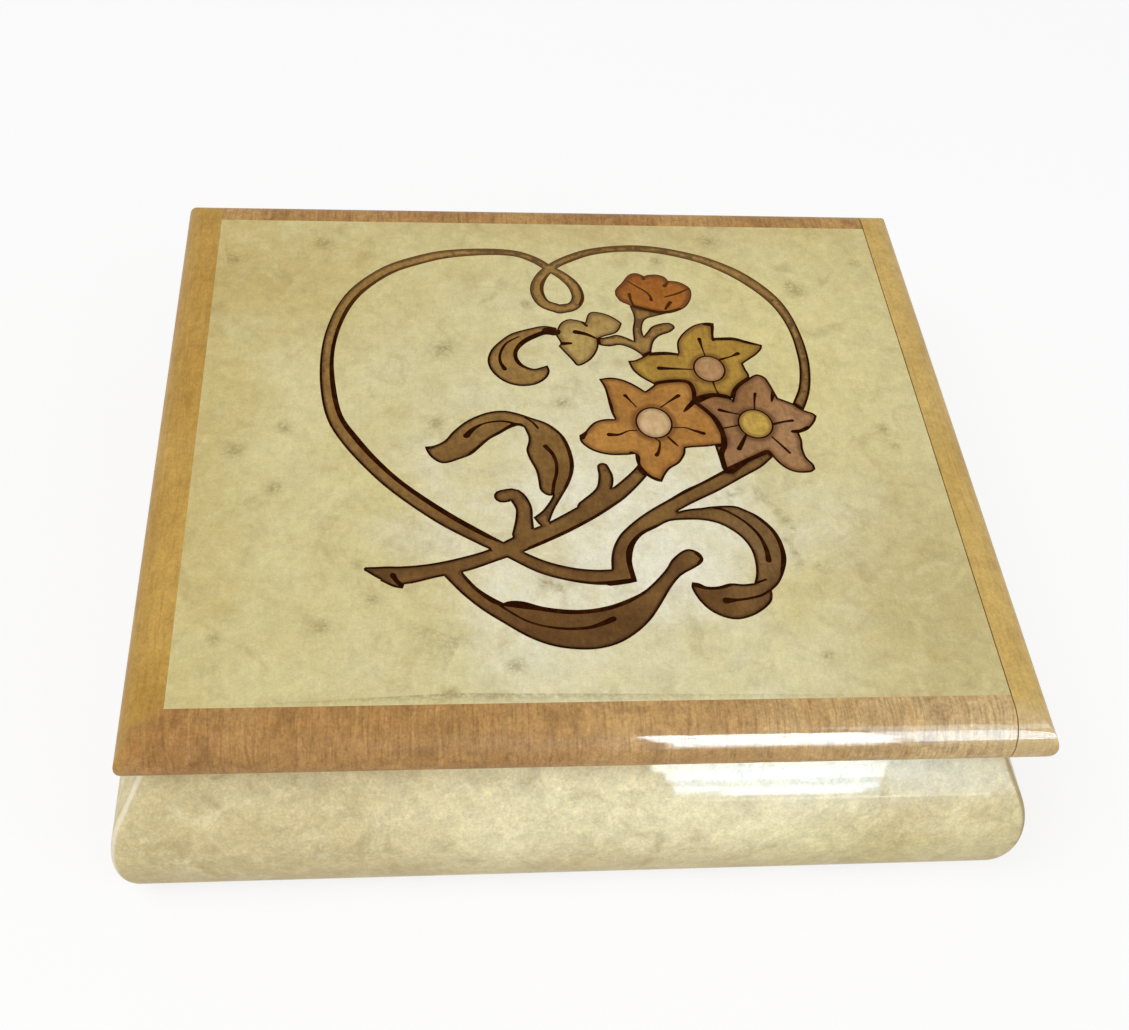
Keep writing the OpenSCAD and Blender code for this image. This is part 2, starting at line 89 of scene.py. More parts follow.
def make_camera():
    forward = Vector((sin(YAW) * cos(PITCH), cos(YAW) * cos(PITCH), -sin(PITCH)))
    level = Vector((cos(YAW), -sin(YAW), 0))
    raised = level.cross(forward)
    right = cos(ROLL) * level + sin(ROLL) * raised
    up = -sin(ROLL) * level + cos(ROLL) * raised
    data = bpy.data.cameras.new("camera")
    data.sensor_width = SENSOR
    data.lens = FOCAL_PX / IMAGE_W * SENSOR
    data.clip_start = 0.01
    cam = bpy.data.objects.new("camera", data)
    turn = Matrix((right, up, -forward)).transposed()
    cam.matrix_world = Matrix.Translation(Vector(CAMERA_MM) * MM) @ turn.to_4x4()
    bpy.context.scene.collection.objects.link(cam)
    bpy.context.scene.camera = cam


# ---- Small mesh helpers ----

def add_mesh(name, verts_mm, faces, material):
    mesh = bpy.data.meshes.new(name)
    mesh.from_pydata([tuple(c * MM for c in v) for v in verts_mm], [], faces)
    mesh.materials.append(material)
    obj = bpy.data.objects.new(name, mesh)
    bpy.context.scene.collection.objects.link(obj)
    return obj


def make_object(name, verts_mm, faces, material, body=None, smooth_angle=None):
    """A mesh object, cleaned, that rides on a body."""
    obj = add_mesh(name, verts_mm, faces, material)
    mesh = obj.data
    bm = bmesh.new()
    bm.from_mesh(mesh)
    bmesh.ops.remove_doubles(bm, verts=bm.verts, dist=0.002 * MM)
    bmesh.ops.dissolve_degenerate(bm, edges=bm.edges, dist=0.001 * MM)
    bmesh.ops.recalc_face_normals(bm, faces=bm.faces)
    bm.to_mesh(mesh)
    bm.free()
    if smooth_angle is not None:
        mesh.shade_smooth()
        mesh.set_sharp_from_angle(angle=radians(smooth_angle))
    if body:
        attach(obj, body)
    return obj


def cutter(low, high):
    """A plain box that is cut out of a piece and then deleted."""
    x, y, z = zip(low, high)
    verts = [(x[i], y[j], z[k]) for i in (0, 1) for j in (0, 1) for k in (0, 1)]
    faces = [(0, 1, 3, 2), (4, 6, 7, 5), (0, 4, 5, 1), (2, 3, 7, 6), (0, 2, 6, 4), (1, 5, 7, 3)]
    return make_object("cutter", verts, faces, MAT["core"])


def cut(obj, cutters):
    """Takes the cutters out of obj and deletes them."""
    for tool in cutters:
        mod = obj.modifiers.new("cut", "BOOLEAN")
        mod.operation = "DIFFERENCE"
        mod.solver = "EXACT"
        mod.object = tool
    bpy.context.view_layer.update()
    done = bpy.data.meshes.new_from_object(obj.evaluated_get(bpy.context.evaluated_depsgraph_get()))
    obj.modifiers.clear()
    obj.data = done
    for tool in cutters:
        bpy.data.objects.remove(tool)


# ---- Node helpers for materials ----

class Tree:
    """Short calls for the nodes of a node tree."""

    def __init__(self, tree):
        self.tree = tree

    def node(self, kind, inputs=(), **settings):
        made = self.tree.nodes.new("ShaderNode" + kind)
        for key, value in settings.items():
            setattr(made, key, value)
        for key, value in dict(inputs).items():
            self.put(made.inputs[key], value)
        return made

    def put(self, socket, value):
        if isinstance(value, bpy.types.NodeSocket):
            self.tree.links.new(value, socket)
        else:
            socket.default_value = value

    def math(self, kind, a, b=0.0):
        return self.node("Math", {0: a, 1: b}, operation=kind).outputs[0]

    def mul(self, a, b):
        return self.math("MULTIPLY", a, b)

    def add(self, a, b):
        return self.math("ADD", a, b)

    def less(self, a, b):
        return self.math("SUBTRACT", a, b)

    def length(self, a, b):
        return self.math("SQRT", self.add(self.mul(a, a), self.mul(b, b)))

    def seen_directly(self):
        """1 for the camera's own rays and those by gloss or through glass, else 0."""
        path = self.node("LightPath").outputs
        seen = self.math("MAXIMUM", path["Is Camera Ray"], path["Is Glossy Ray"])
        return self.math("MAXIMUM", seen, path["Is Transmission Ray"])


class Shader(Tree):
    """A material with a Principled shader; its noises are in object coordinates."""

    def __init__(self, name, **constants):
        self.mat = bpy.data.materials.new(name)
        self.mat.use_nodes = True
        super().__init__(self.mat.node_tree)
        self.bsdf = self.tree.nodes["Principled BSDF"]
        for key, value in constants.items():
            self.bsdf.inputs[key.replace("_", " ")].default_value = value
        self.coords = self.node("TexCoord").outputs["Object"]

    def scaled(self, per_mm, offset=(0, 0, 0)):
        """Object coordinates in cycles per mm, one number or one each for X, Y, Z."""
        per_mm = np.broadcast_to(per_mm, 3)
        mapping = self.node("Mapping", {"Vector": self.coords, "Location": offset,
                                        "Scale": tuple(float(v) / MM for v in per_mm)})
        return mapping.outputs[0]

    def axes(self):
        """Object coordinates X, Y, Z in mm."""
        return tuple(self.node("SeparateXYZ", {"Vector": self.scaled(1)}).outputs)

    def noise(self, per_mm, detail=3.0, rough=0.5, warp=0.0, offset=(0, 0, 0)):
        made = self.node("TexNoise", {"Vector": self.scaled(per_mm, offset), "Scale": 1.0, "Detail": detail,
                                      "Roughness": rough, "Distortion": warp})
        return made.outputs["Fac"]

    def fit(self, value, low, high, to_low=0.0, to_high=1.0):
        made = self.node("MapRange", {"Value": value, "From Min": low, "From Max": high,
                                      "To Min": to_low, "To Max": to_high}, interpolation_type="SMOOTHSTEP")
        return made.outputs["Result"]

    def mix(self, factor, a, b, kind="MIX"):
        made = self.node("Mix", data_type="RGBA", blend_type=kind)
        self.put(made.inputs[0], factor)
        self.put(made.inputs[6], colour(a))
        self.put(made.inputs[7], colour(b))
        return made.outputs[2]

    def over(self, base, shade, amount, low, high, *noise):
        """Up to this amount of a shade over the base, as a noise goes from low to high."""
        return self.mix(self.fit(self.noise(*noise), low, high, 0, amount), base, shade)

    def vary(self, base, amount, *noise):
        """The base made lighter and darker by a noise."""
        made = self.node("MapRange", {"Value": self.noise(*noise), "From Min": 0.3, "From Max": 0.7,
                                      "To Min": 1 - amount, "To Max": 1 + amount})
        return self.mix(1.0, base, made.outputs["Result"], "MULTIPLY")

    def attribute(self, name):
        return self.node("Attribute", attribute_name=name).outputs["Fac"]

    def bump(self, height, strength, distance_mm, socket="Normal"):
        made = self.node("Bump", {"Height": height, "Strength": strength, "Distance": distance_mm * MM})
        self.put(self.bsdf.inputs[socket], made.outputs[0])

    def tint(self, base, a, b, tints):
        """Soft patches of colour at given places; a and b are coordinates in mm."""
        wobble = self.mul(self.less(self.noise(0.05, 4, 0.6), 0.5), 1.6)
        for (at_a, at_b), (reach_a, reach_b), shade, strength in tints:
            across = self.mul(self.less(a, at_a), 1 / reach_a)
            along = self.mul(self.less(b, at_b), 1 / reach_b)
            far = self.add(self.length(across, along), wobble)
            base = self.mix(self.fit(far, 0.15, 1.1, strength, 0), base, shade)
        return base

    def finish(self, base, rough=None):
        self.put(self.bsdf.inputs["Base Color"], base)
        if rough is not None:
            self.put(self.bsdf.inputs["Roughness"], rough)
        return self.mat


def colour(value):
    """A colour written as sRGB 0-255, as the linear colour that Blender wants."""
    if isinstance(value, bpy.types.NodeSocket) or len(value) == 4:
        return value
    linear = [c / 255 / 12.92 if c <= 10 else ((c / 255 + 0.055) / 1.055) ** 2.4 for c in value]
    return (*linear, 1.0)


LACQUER = {"Coat_Weight": 0.2, "Coat_Roughness": 0.03, "Roughness": 0.5, "Specular_IOR_Level": 0.03}
INK = (38, 15, 4)       # burnt wood
MITRE_W = 0.9           # width of the painted highlight line where the wall veneers meet


def maple(name, pale, mid, deep, seed, fibre, grit, place, tints):
    """Lacquered burr maple: clouds, flame patches, fine mottling, small eyes and smudges."""
    s = Shader(name, **LACQUER)
    at = (seed, seed * 0.7, seed * 1.3)
    base = s.over(mid, pale, 0.6, 0.34, 0.68, (0.026, 0.03, 0.03), 3, 0.5, 0.6, at)
    base = s.tint(base, *place(s.axes()), tints)
    base = s.over(base, pale, 0.4 * grit, 0.47, 0.68, (0.11, 0.10, 0.10), 5, 0.62, 1.4, at)
    base = s.over(base, deep, 0.28 * grit, 0.5, 0.72, (0.16, 0.14, 0.14), 5, 0.62, 0.8, (seed + 5, 2, seed))
    base = s.vary(base, 0.08 * grit, 0.3, 4, 0.6, 0.6, at)
    base = s.vary(base, 0.07 * grit, 1.0, 4, 0.7, 0.3, at)
    fibres = s.noise(fibre, 4, 0.7, 0.3, at)
    base = s.mix(s.fit(fibres, 0.42, 0.74, 0.0, 0.12), base, deep)
    base = s.vary(base, 0.08 * grit, 2.4, 3, 0.7, 0, at)
    eyes = s.node("TexVoronoi", {"Vector": s.scaled(0.07, at), "Scale": 1.0}, feature="F1")
    chosen = s.fit(s.noise(0.05, 2, 0.5, 0, (seed + 3, seed, 1)), 0.54, 0.62)
    ragged = s.add(eyes.outputs["Distance"], s.mul(s.noise(0.7, 4, 0.7), 0.14))
    spot = s.mul(s.fit(ragged, 0.1, 0.24, 1, 0), chosen)
    base = s.mix(s.mul(spot, 0.3), base, deep)
    wear_and_painted_mitre_light = s.fit(s.noise(1.3, 4, 0.7, 0, at), 0.3, 0.6)
    base = s.mix(s.mul(s.mul(s.attribute("smudge"), wear_and_painted_mitre_light), 0.62), base, SMUDGE)
    s.bump(s.noise(0.05, 1, 0.5, 0, at), 0.05, 0.04)
    return s, base, s.fit(fibres, 0.3, 0.7, 0.45, 0.55)


def field_maple(name, pale, mid, deep, seed):
    """The lid's field, paler in front of its middle as a painted sheen of the lacquer, and warmer round the border.
    """
    s, base, rough = maple(name, pale, mid, deep, seed, (1.7, 0.4, 1.0), 1.0, lambda xyz: xyz[:2], FIELD_TINTS)
    return s.finish(base, rough)


def wall_maple(name, pale, mid, deep, seed):
    """Wall veneer, with painted shade towards the foot and a line along the mitres: a pale painted highlight at the
    left and brown at the right.
    """
    s, base, rough = maple(name, pale, mid, deep, seed, (1.7, 1.7, 0.45), 1.5, lambda xyz: xyz[::2], WALL_TINTS)
    x, y, z = s.axes()
    # painted shade: the wall is darkened towards its foot, standing in for the shade near the floor
    base = s.mix(s.fit(z, 0.5, 17, 0.5, 0), base, deep)
    beyond_x = s.less(s.math("ABSOLUTE", x), HALF_W)
    beyond_y = s.less(s.math("ABSOLUTE", y), HALF_D)
    off = s.math("ABSOLUTE", s.less(beyond_x, beyond_y))
    # painted light along the mitres: a pale painted highlight at the left, brown at the right, strongest at the front
    wear_and_painted_mitre_light = s.mix(s.math("GREATER_THAN", x, 0.0), (246, 242, 224), (128, 98, 62))
    line = s.mul(s.fit(off, MITRE_W * 0.3, MITRE_W, 0.55, 0), s.fit(y, -10, 40, 1.0, 0.35))
    return s.finish(s.mix(line, base, wear_and_painted_mitre_light), rough)


def grain_colour(s, light, mid, deep, grain, seed, grit=1.0, tints=()):
    """Colour of straight-grained wood; grain is its cycles per mm along X, Y, Z."""
    at = (seed, seed * 1.7, seed * 0.4)
    base = s.over(mid, light, 1, 0.32, 0.68, (0.06, 0.03, 0.06), 3, 0.5, 0.5, at)
    base = s.tint(base, *s.axes()[:2], tints)
    base = s.over(base, deep, 0.3 * grit, 0.5, 0.72, 0.16, 4, 0.6, 0.8, at)
    base = s.over(base, light, 0.4 * grit, 0.52, 0.72, (0.2, 0.12, 0.2), 4, 0.6, 0.8, (seed + 6, 3, seed))
    coarse, fine = (tuple(g * k for g in grain) for k in (0.5, 2.5))
    base = s.over(base, deep, 0.4 * grit, 0.44, 0.72, grain, 5, 0.65, 0.25, at)
    base = s.over(base, light, 0.45 * grit, 0.5, 0.7, coarse, 4, 0.6, 0.2, (seed + 2, 1, seed))
    base = s.vary(base, 0.11 * grit, (0.4, 0.35, 0.4), 3, 0.6, 0.5, (seed, 5, 1))
    base = s.vary(base, 0.11 * grit, (1.0, 0.8, 1.0), 4, 0.75, 0.3, at)
    base = s.vary(base, 0.15 * grit, (2.3, 1.9, 2.3), 3, 0.7, 0, (seed, 7, 2))
    return s.over(base, deep, 0.3 * grit, 0.6, 0.78, fine, 2, 0.6, 0, at)


def lacquer_ripple(s):
    """Fine waves that break up the highlights along the border."""
    s.bump(s.noise(0.2, 3, 0.5), 0.05, 0.05)
    s.bump(s.noise((0.12, 1.3, 1.3), 4, 0.65), 0.3, 0.05, "Coat Normal")


def border_wood(name, light, mid, deep, seed, tints=(), grit=1.0):
    s = Shader(name, **LACQUER)
    lacquer_ripple(s)
    return s.finish(grain_colour(s, light, mid, deep, GRAIN, seed, grit, tints))


def mitred_rail(name, rail, strip, seed):
    """The fixed side rail, whose front end carries the front veneer up to a blended mitre."""
    s = Shader(name, **LACQUER)
    x, y, _ = s.axes()
    beyond_x = s.less(s.math("ABSOLUTE", s.less(x, LID_SHIFT)), FIELD_HALF_W)
    past = s.less(s.less(s.mul(y, -1), FIELD_HALF_D), beyond_x)
    past = s.add(past, s.mul(s.less(s.noise(0.3, 4), 0.5), 6))
    front = grain_colour(s, *strip, GRAIN, 9.0, 1.25)
    side = grain_colour(s, *rail, GRAIN, seed, 0.8)
    lacquer_ripple(s)
    return s.finish(s.mix(s.fit(past, -5, 3), side, front))


def inlay_wood(name, light, mid, burnt, seed, scorch_mm=1.4, back=None, tints=()):
    """Stained veneer, scorched near its edges; attribute edge is the distance from the edge in mm.

    back is the pair of shades that the wood fades to towards the back of the lid.
    """
    s = Shader(name, **LACQUER)
    at = (seed, seed * 0.6, 0)
    if back:
        _, y, _ = s.axes()
        rear = s.fit(y, -42, 44)
        light, mid = s.mix(rear, light, back[0]), s.mix(rear, mid, back[1])
    base = s.over(mid, light, 1, 0.34, 0.66, (0.09, 0.08, 0.1), 3, 0.5, 0.4, at)
    base = s.tint(base, *s.axes()[:2], tints)
    base = s.over(base, burnt, 0.32, 0.42, 0.74, (1.5, 0.35, 1.0), 4, 0.65, 0.5, at)
    mottle = s.noise(0.6, 4, 0.65, 0, at)
    base = s.mix(s.fit(mottle, 0.46, 0.7, 0, 0.26), base, burnt)
    base = s.over(base, light, 0.3, 0.5, 0.7, 1.8, 3, 0.7, 0, at)
    base = s.vary(base, 0.14, 0.5, 4, 0.65, 0.6, (seed, 4, 1))
    base = s.vary(base, 0.12, 1.6, 3, 0.7, 0, (seed, 8, 3))
    edge = s.add(s.attribute("edge"), s.mul(s.less(mottle, 0.5), 1.2))
    return s.finish(s.mix(s.fit(edge, LINE_W, scorch_mm, 0.7, 0.0), base, burnt))


def burnt_wood(name):
    """Burnt lines, black-brown at the front and browner towards the back."""
    s = Shader(name, Roughness=0.8, Specular_IOR_Level=0.0)
    _, y, _ = s.axes()
    base = s.over(INK, (58, 27, 8), 1, 0.4, 0.7, 0.7, 3, 0.6)
    return s.finish(s.mix(s.fit(y, 22, 50), base, (94, 64, 28)))


def pink_wood(name, seed):
    """The pink centres: the left one pale, the right one browner."""
    s = Shader(name, **LACQUER)
    x, _, _ = s.axes()
    tone = s.fit(s.add(x, s.noise(0.2, 2)), 20, 21)
    fine = s.fit(s.noise((0.8, 0.5, 0.8), 4, 0.65, 0, (seed, 0, 0)), 0.38, 0.66)
    pale = s.mix(fine, (208, 178, 134), (192, 158, 112))
    brown = s.mix(fine, (182, 142, 98), (164, 122, 78))
    base = s.mix(tone, pale, brown)
    return s.finish(s.mix(s.fit(s.attribute("edge"), LINE_W * 0.5, 1.1, 0.5, 0), base, (120, 78, 42)))


def plain_wood(name, light, deep, grain, seed):
    """Bare wood inside the box."""
    s = Shader(name, Roughness=0.62, Specular_IOR_Level=0.3)
    base = s.over(light, deep, 1, 0.35, 0.7, grain, 5, 0.6, 0.3, (seed, 0, seed))
    fine = s.noise(tuple(g * 4 for g in grain), 2, 0.6, 0, (0, seed, 0))
    base = s.mix(s.fit(fine, 0.55, 0.8, 0, 0.4), base, deep)
    s.bump(fine, 0.15, 0.1)
    return s.finish(base)


def cloth(name, light, deep, sheen, pile):
    """Velvet or felt: mottled nap with a soft sheen."""
    s = Shader(name, Roughness=0.95, Specular_IOR_Level=0.1, Sheen_Weight=sheen, Sheen_Roughness=0.35,
               Sheen_Tint=colour(light))
    nap = s.noise(pile, 3, 0.7)
    brushed = s.noise((0.05, 0.09, 0.05), 3, 0.5, 0.8)
    base = s.mix(s.fit(brushed, 0.3, 0.7, 0.35, 0.85), deep, light)
    base = s.mix(s.fit(nap, 0.35, 0.65, 0, 0.5), base, deep)
    s.bump(nap, 0.5, 0.2)
    return s.finish(base)


def brass(name):
    """Rolled brass with fine lines and a little tarnish."""
    s = Shader(name, Metallic=1.0, Roughness=0.3)
    lines = s.noise((0.3, 9, 9), 3, 0.6)
    tarnish = s.noise(0.25, 4, 0.6, 0.5)
    base = s.mix(s.fit(tarnish, 0.4, 0.8, 0, 0.5), (226, 190, 116), (168, 124, 62))
    s.bump(lines, 0.12, 0.02)
    return s.finish(base, s.fit(s.add(lines, tarnish), 0.8, 1.3, 0.2, 0.42))


SMUDGE = (118, 104, 62)         # grey-brown marks in the maple
GRAIN = (2.1, 0.16, 0.3)        # border wood: fibres run from front to back
STRIP = ((186, 146, 88), (160, 116, 64), (112, 72, 36))
LEFT_RAIL = ((192, 154, 78), (178, 138, 62), (138, 96, 36))

# Patches of shade, as (middle), (reach), colour and strength; the lid's in x and y, the walls' in x and z
FIELD_TINTS = [
    ((-64, 5), (16, 95), (190, 168, 100), 0.6), ((-50, 44), (40, 30), (190, 166, 98), 0.5),
    ((20, 60), (80, 16), (192, 168, 108), 0.5),
    ((62, -40), (28, 38), (182, 164, 110), 0.6), ((44, 24), (26, 40), (218, 205, 143), 0.6),
    # painted sheen: the pale patches in front of the middle stand in for the lacquer's haze
    ((2, 4), (40, 34), (218, 212, 178), 0.6), ((8, -50), (46, 18), (220, 214, 178), 0.55),
    ((8, -24), (42, 30), (230, 226, 204), 0.9),
]
WALL_TINTS = [
    # painted light: a pale pool across the middle and right of the walls, with painted shade at both ends
    ((-48, 14), (34, 30), (204, 186, 140), 0.3), ((10, 20), (40, 20), (240, 232, 192), 0.75),
    ((50, 27), (34, 8), (226, 222, 196), 0.5), ((48, 10), (26, 10), (214, 206, 146), 0.5),
    ((74, 12), (14, 22), (192, 180, 130), 0.6),
]
# the strip turns paler to the right: partly its own colour, partly a painted haze of the lacquer
STRIP_TINTS = [
    ((-35, -60), (34, 12), (160, 116, 64), 0.6), ((16, -60), (36, 12), (194, 158, 104), 0.7),
    ((62, -60), (38, 12), (212, 188, 138), 0.75),
]
# the rail's front end takes the strip's colour together with a painted haze of the lacquer
RIGHT_RAIL_TINTS = [((66, -63), (12, 8), (204, 178, 132), 0.9)]
VINE_TINTS = [((-1, -42), (22, 9), (86, 54, 16), 0.6), ((29, -28), (8, 14), (134, 106, 66), 0.5)]
MAUVE_TINTS = [((31, 9), (10, 7), (138, 94, 48), 0.7), ((39, -2), (7, 9), (176, 134, 92), 0.6)]

MAT = {
    "field": field_maple("burr_maple_field", (214, 204, 154), (205, 192, 136), (152, 128, 74), 2.0),
    "wall": wall_maple("burr_maple_wall", (230, 220, 176), (208, 192, 144), (164, 142, 94), 7.0),
    "left_rail": mitred_rail("amber_rail", LEFT_RAIL, STRIP, 3.0),
    "right_rail": border_wood("pale_amber_rail", (203, 171, 99), (188, 154, 82), (146, 110, 54), 5.0,
                              RIGHT_RAIL_TINTS, 0.8),
    "strip": border_wood("amber_strip", *STRIP, 9.0, STRIP_TINTS, 1.25),
    "core": plain_wood("poplar", (196, 164, 116), (158, 122, 78), (0.08, 1.2, 1.2), 4.0),
    "panel": plain_wood("ply", (150, 106, 62), (110, 72, 40), (0.05, 0.9, 0.9), 6.0),
    "velvet": cloth("red_velvet", (140, 24, 32), (84, 8, 16), 0.6, 4.0),
    "felt": cloth("green_felt", (52, 78, 46), (30, 50, 28), 0.2, 2.5),
    "brass": brass("brass"),
    "pink": pink_wood("pink_inlay", 7.0),
    "ink": burnt_wood("burnt_line"),
}

# Inlay woods: light, middle and burnt shades, seed, reach of the scorching, shades at the back, tints
INLAYS = {
    "walnut": ((121, 86, 40), (95, 63, 23), (62, 35, 9), 1.0, 0.9, ((164, 128, 66), (144, 107, 48)), VINE_TINTS),
    "yellow": ((178, 140, 54), (156, 118, 42), (98, 62, 18), 2.0),
    "orange": ((180, 126, 58), (160, 108, 44), (100, 58, 18), 3.0),
    "mauve": ((168, 125, 80), (145, 104, 63), (80, 44, 20), 4.0, 1.4, None, MAUVE_TINTS),
    "red": ((168, 104, 30), (150, 86, 20), (86, 38, 8), 5.0),
    "pale": ((176, 148, 84), (160, 130, 68), (104, 74, 34), 6.0),
    "gold": ((199, 167, 79), (186, 151, 66), (122, 88, 32), 8.0, 1.0),
}
MAT.update({key: inlay_wood(key + "_inlay", *values) for key, values in INLAYS.items()})


# ---- Walls: smooth bombe forms with softened mitres ----

PROFILE_STEPS = 40
CORNER_STEPS = 5
CORNER_R = 0.9
FLAT_FROM = 0.8         # the wall is flat from this far inside its rounded corner


def wall_profile():
    """Outline of a wall as (distance out from the lid's edge, height), foot to top."""
    radius_x = BULGE + BASE_INSET
    dx = (BASE_INSET - TOP_INSET) / radius_x
    dz = (BODY_H - BULGE_Z) / BULGE_Z
    tangent = atan2(dz, dx) - acos(1 / hypot(dx, dz))
    angles = [-pi / 2 + (tangent + pi / 2) * i / PROFILE_STEPS for i in range(PROFILE_STEPS + 1)]
    curve = [(radius_x * cos(a) - BASE_INSET, BULGE_Z * (1 + sin(a))) for a in angles]
    last, top = curve[-1], (-TOP_INSET, BODY_H)
    slope = [tuple(last[k] + (top[k] - last[k]) * i / 6 for k in (0, 1)) for i in range(1, 7)]
    return curve + slope


def wall_mesh(name, half_length, half_reach, turn, material):
    """A mitred wall facing -Y, then turned about Z."""
    outer = wall_profile()
    inset = TOP_INSET + WALL_TOP_T
    section = [(o, z, CORNER_R) for o, z in outer] + [(-inset, BODY_H, 0.0), (-inset, 0.0, 0.0)]
    verts, faces = [], []
    for out, z, r in section:
        end = half_length + out - r
        front = half_reach + out
        arc = [radians(45) * k / CORNER_STEPS for k in range(CORNER_STEPS, -1, -1)]
        row = [(-end - r * sin(a), -front + r * (1 - cos(a)), z) for a in arc] + [(-end + FLAT_FROM, -front, z)]
        row += [(-x, y, z) for x, y, z in reversed(row)]
        verts += row
    n, m = len(section), 2 * (CORNER_STEPS + 2)
    for i in range(n):
        for k in range(m - 1):
            a, b = i * m + k, (i + 1) % n * m + k
            faces.append((a, a + 1, b + 1, b))
    faces.append(tuple(i * m for i in range(n)))
    faces.append(tuple(i * m + m - 1 for i in reversed(range(n))))
    c, s = cos(turn), sin(turn)
    verts = [(c * x - s * y, s * x + c * y, z) for x, y, z in verts]
    return make_object(name, verts, faces, material, "body", 30)


def make_walls():
    plan = {
        "front_wall": (HALF_W, HALF_D, 0), "back_wall": (HALF_W, HALF_D, pi),
        "left_wall": (HALF_D, HALF_W, -pi / 2), "right_wall": (HALF_D, HALF_W, pi / 2),
    }
    walls = {}
    for node, (half_length, half_reach, turn) in plan.items():
        wall = wall_mesh(node + "_veneered", half_length, half_reach, turn, MAT["wall"])
        walls[node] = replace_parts(wall, node)
    leaves = []
    for side in ("left", "right"):
        low, high = node_mm("body_leaf_" + side)
        bottom, top = (*low[:2], BODY_H - LEAF_T), (*high[:2], BODY_H + 1)
        leaves.append(cutter(bottom, top))
    cut(walls["back_wall"], leaves)
    low, high = node_mm("keeper_plate")
    plate = cutter(low, (*high[:2], BODY_H + 1))
    pins = node_mm("locking_pins")
    pocket = cutter((low[0] + 0.7, pins[0][1] - 9.6, pins[0][2] - 0.4),
                    (high[0] - 0.7, pins[1][1] + 0.4, low[2] + 0.5))
    cut(walls["right_wall"], [plate, pocket])


# ---- Linings and felt ----

PAD_EDGE = (0, 0.12, 0.3, 0.55, 0.9, 1.4, 2.2, 3.5)     # rows of points in from a pad's edge
PAD_STEP = 3.0


def pad_rows(low, high):
    """Positions along one side, close together near both edges."""
    near = [low + d for d in PAD_EDGE]
    far = [high - d for d in reversed(PAD_EDGE)]
    count = max(1, round((far[0] - near[-1]) / PAD_STEP))
    return near + [near[-1] + (far[0] - near[-1]) * k / count for k in range(1, count)] + far


def pad(name, node, body, thin, faces, material, round_mm, loose):
    """A thin covered board with a soft rounded rim, on its back face; thin is its axis, faces is +1 or -1."""
    low, high = node_mm(node)
    a, b = (k for k in range(3) if k != thin)
    rows, cols = pad_rows(low[a], high[a]), pad_rows(low[b], high[b])
    full = high[thin] - low[thin]
    back = low[thin] if faces > 0 else high[thin]
    verts = []
    for top in (1, 0):
        for u in rows:
            for v in cols:
                edge = min(u - low[a], high[a] - u, v - low[b], high[b] - v)
                rim = 1 - min(1, edge / round_mm)
                wave = noise.noise(Vector((u * 0.09, v * 0.09, thin + 3 * faces)))
                height = full * (0.93 + 0.07 * min(1, edge / 8)) - full * 0.62 * (1 - (1 - rim ** 2) ** 0.5)
                height -= full * loose * (0.5 + 0.5 * wave)
                at = [0, 0, 0]
                at[a], at[b], at[thin] = u, v, back + faces * height * top
                verts.append(at)
    n, m = len(rows), len(cols)
    quads = []
    for i in range(n - 1):
        for k in range(m - 1):
            q = (i * m + k, (i + 1) * m + k, (i + 1) * m + k + 1, i * m + k + 1)
            quads += [q, tuple(v + n * m for v in reversed(q))]
    rim = [i * m for i in range(n)] + [(n - 1) * m + k for k in range(1, m)]
    rim += [i * m + m - 1 for i in range(n - 2, -1, -1)] + list(range(m - 2, 0, -1))
    quads += [(p, q, q + n * m, p + n * m) for p, q in zip(rim, rim[1:] + rim[:1])]
    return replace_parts(make_object(name, verts, quads, material, body, 60), node)


def make_linings():
    plan = {
        "floor_lining": ("body", 2, 1), "front_lining": ("body", 1, 1), "back_lining": ("body", 1, -1),
        "left_lining": ("body", 0, 1), "right_lining": ("body", 0, -1), "lid_lining": ("lid", 2, -1),
    }
    for node, (body, thin, faces) in plan.items():
        piece = pad("velvet_" + node, node, body, thin, faces, MAT["velvet"], 0.9, 0.06)
    felt = pad("felt_sheet", "base_felt", "body", 2, -1, MAT["felt"], 0.35, 0.05)


# ---- Marquetry: drawn in mm on the lid's face, x right and y back from its middle ----

def smooth_curve(points, steps=4):
    """A smooth curve through points, which may carry a width too."""
    p = np.array(points, float)
    p = np.vstack([2 * p[0] - p[1], p, 2 * p[-1] - p[-2]])
    curve = []
    for a, b, c, d in zip(p, p[1:], p[2:], p[3:]):
        for t in np.arange(steps) / steps:
            bend = (2 * a - 5 * b + 4 * c - d) * t ** 2 + (3 * b - a - 3 * c + d) * t ** 3
            curve.append(b + 0.5 * ((c - a) * t + bend))
    return np.array(curve + [p[-2]])


def stroke(*numbers):
    """Outline round a curve of x, y, width by turns, round at both ends."""
    curve = smooth_curve(np.reshape(numbers, (-1, 3)))
    run = np.gradient(curve[:, :2], axis=0)
    turn = np.arctan2(run[:, 1], run[:, 0])
    half = curve[:, 2] / 2

    def beside(k, degrees):
        a = turn[k] + radians(degrees)
        return curve[k, :2] + half[k] * np.array([cos(a), sin(a)])

    last = len(curve) - 1
    left = [beside(k, 90) for k in range(last + 1)]
    right = [beside(k, -90) for k in range(last, -1, -1)]
    tip = [beside(last, d) for d in (60, 30, 0, -30, -60)]
    tail = [beside(0, d) for d in (-120, -150, 180, 150, 120)]
    return np.array(left + tip + right + tail)


def outline(*stretches):
    """Closed outline from smooth stretches of x, y by turns, which meet at corners."""
    ends = [s[:2] for s in stretches[1:] + stretches[:1]]
    return np.vstack([smooth_curve(np.reshape(s + end, (-1, 2)), 3)[:-1] for s, end in zip(stretches, ends)])


def oval(x, y, rx, ry, steps=36):
    a = np.arange(steps) * 2 * pi / steps
    return np.stack([x + rx * np.cos(a), y + ry * np.sin(a)], 1)


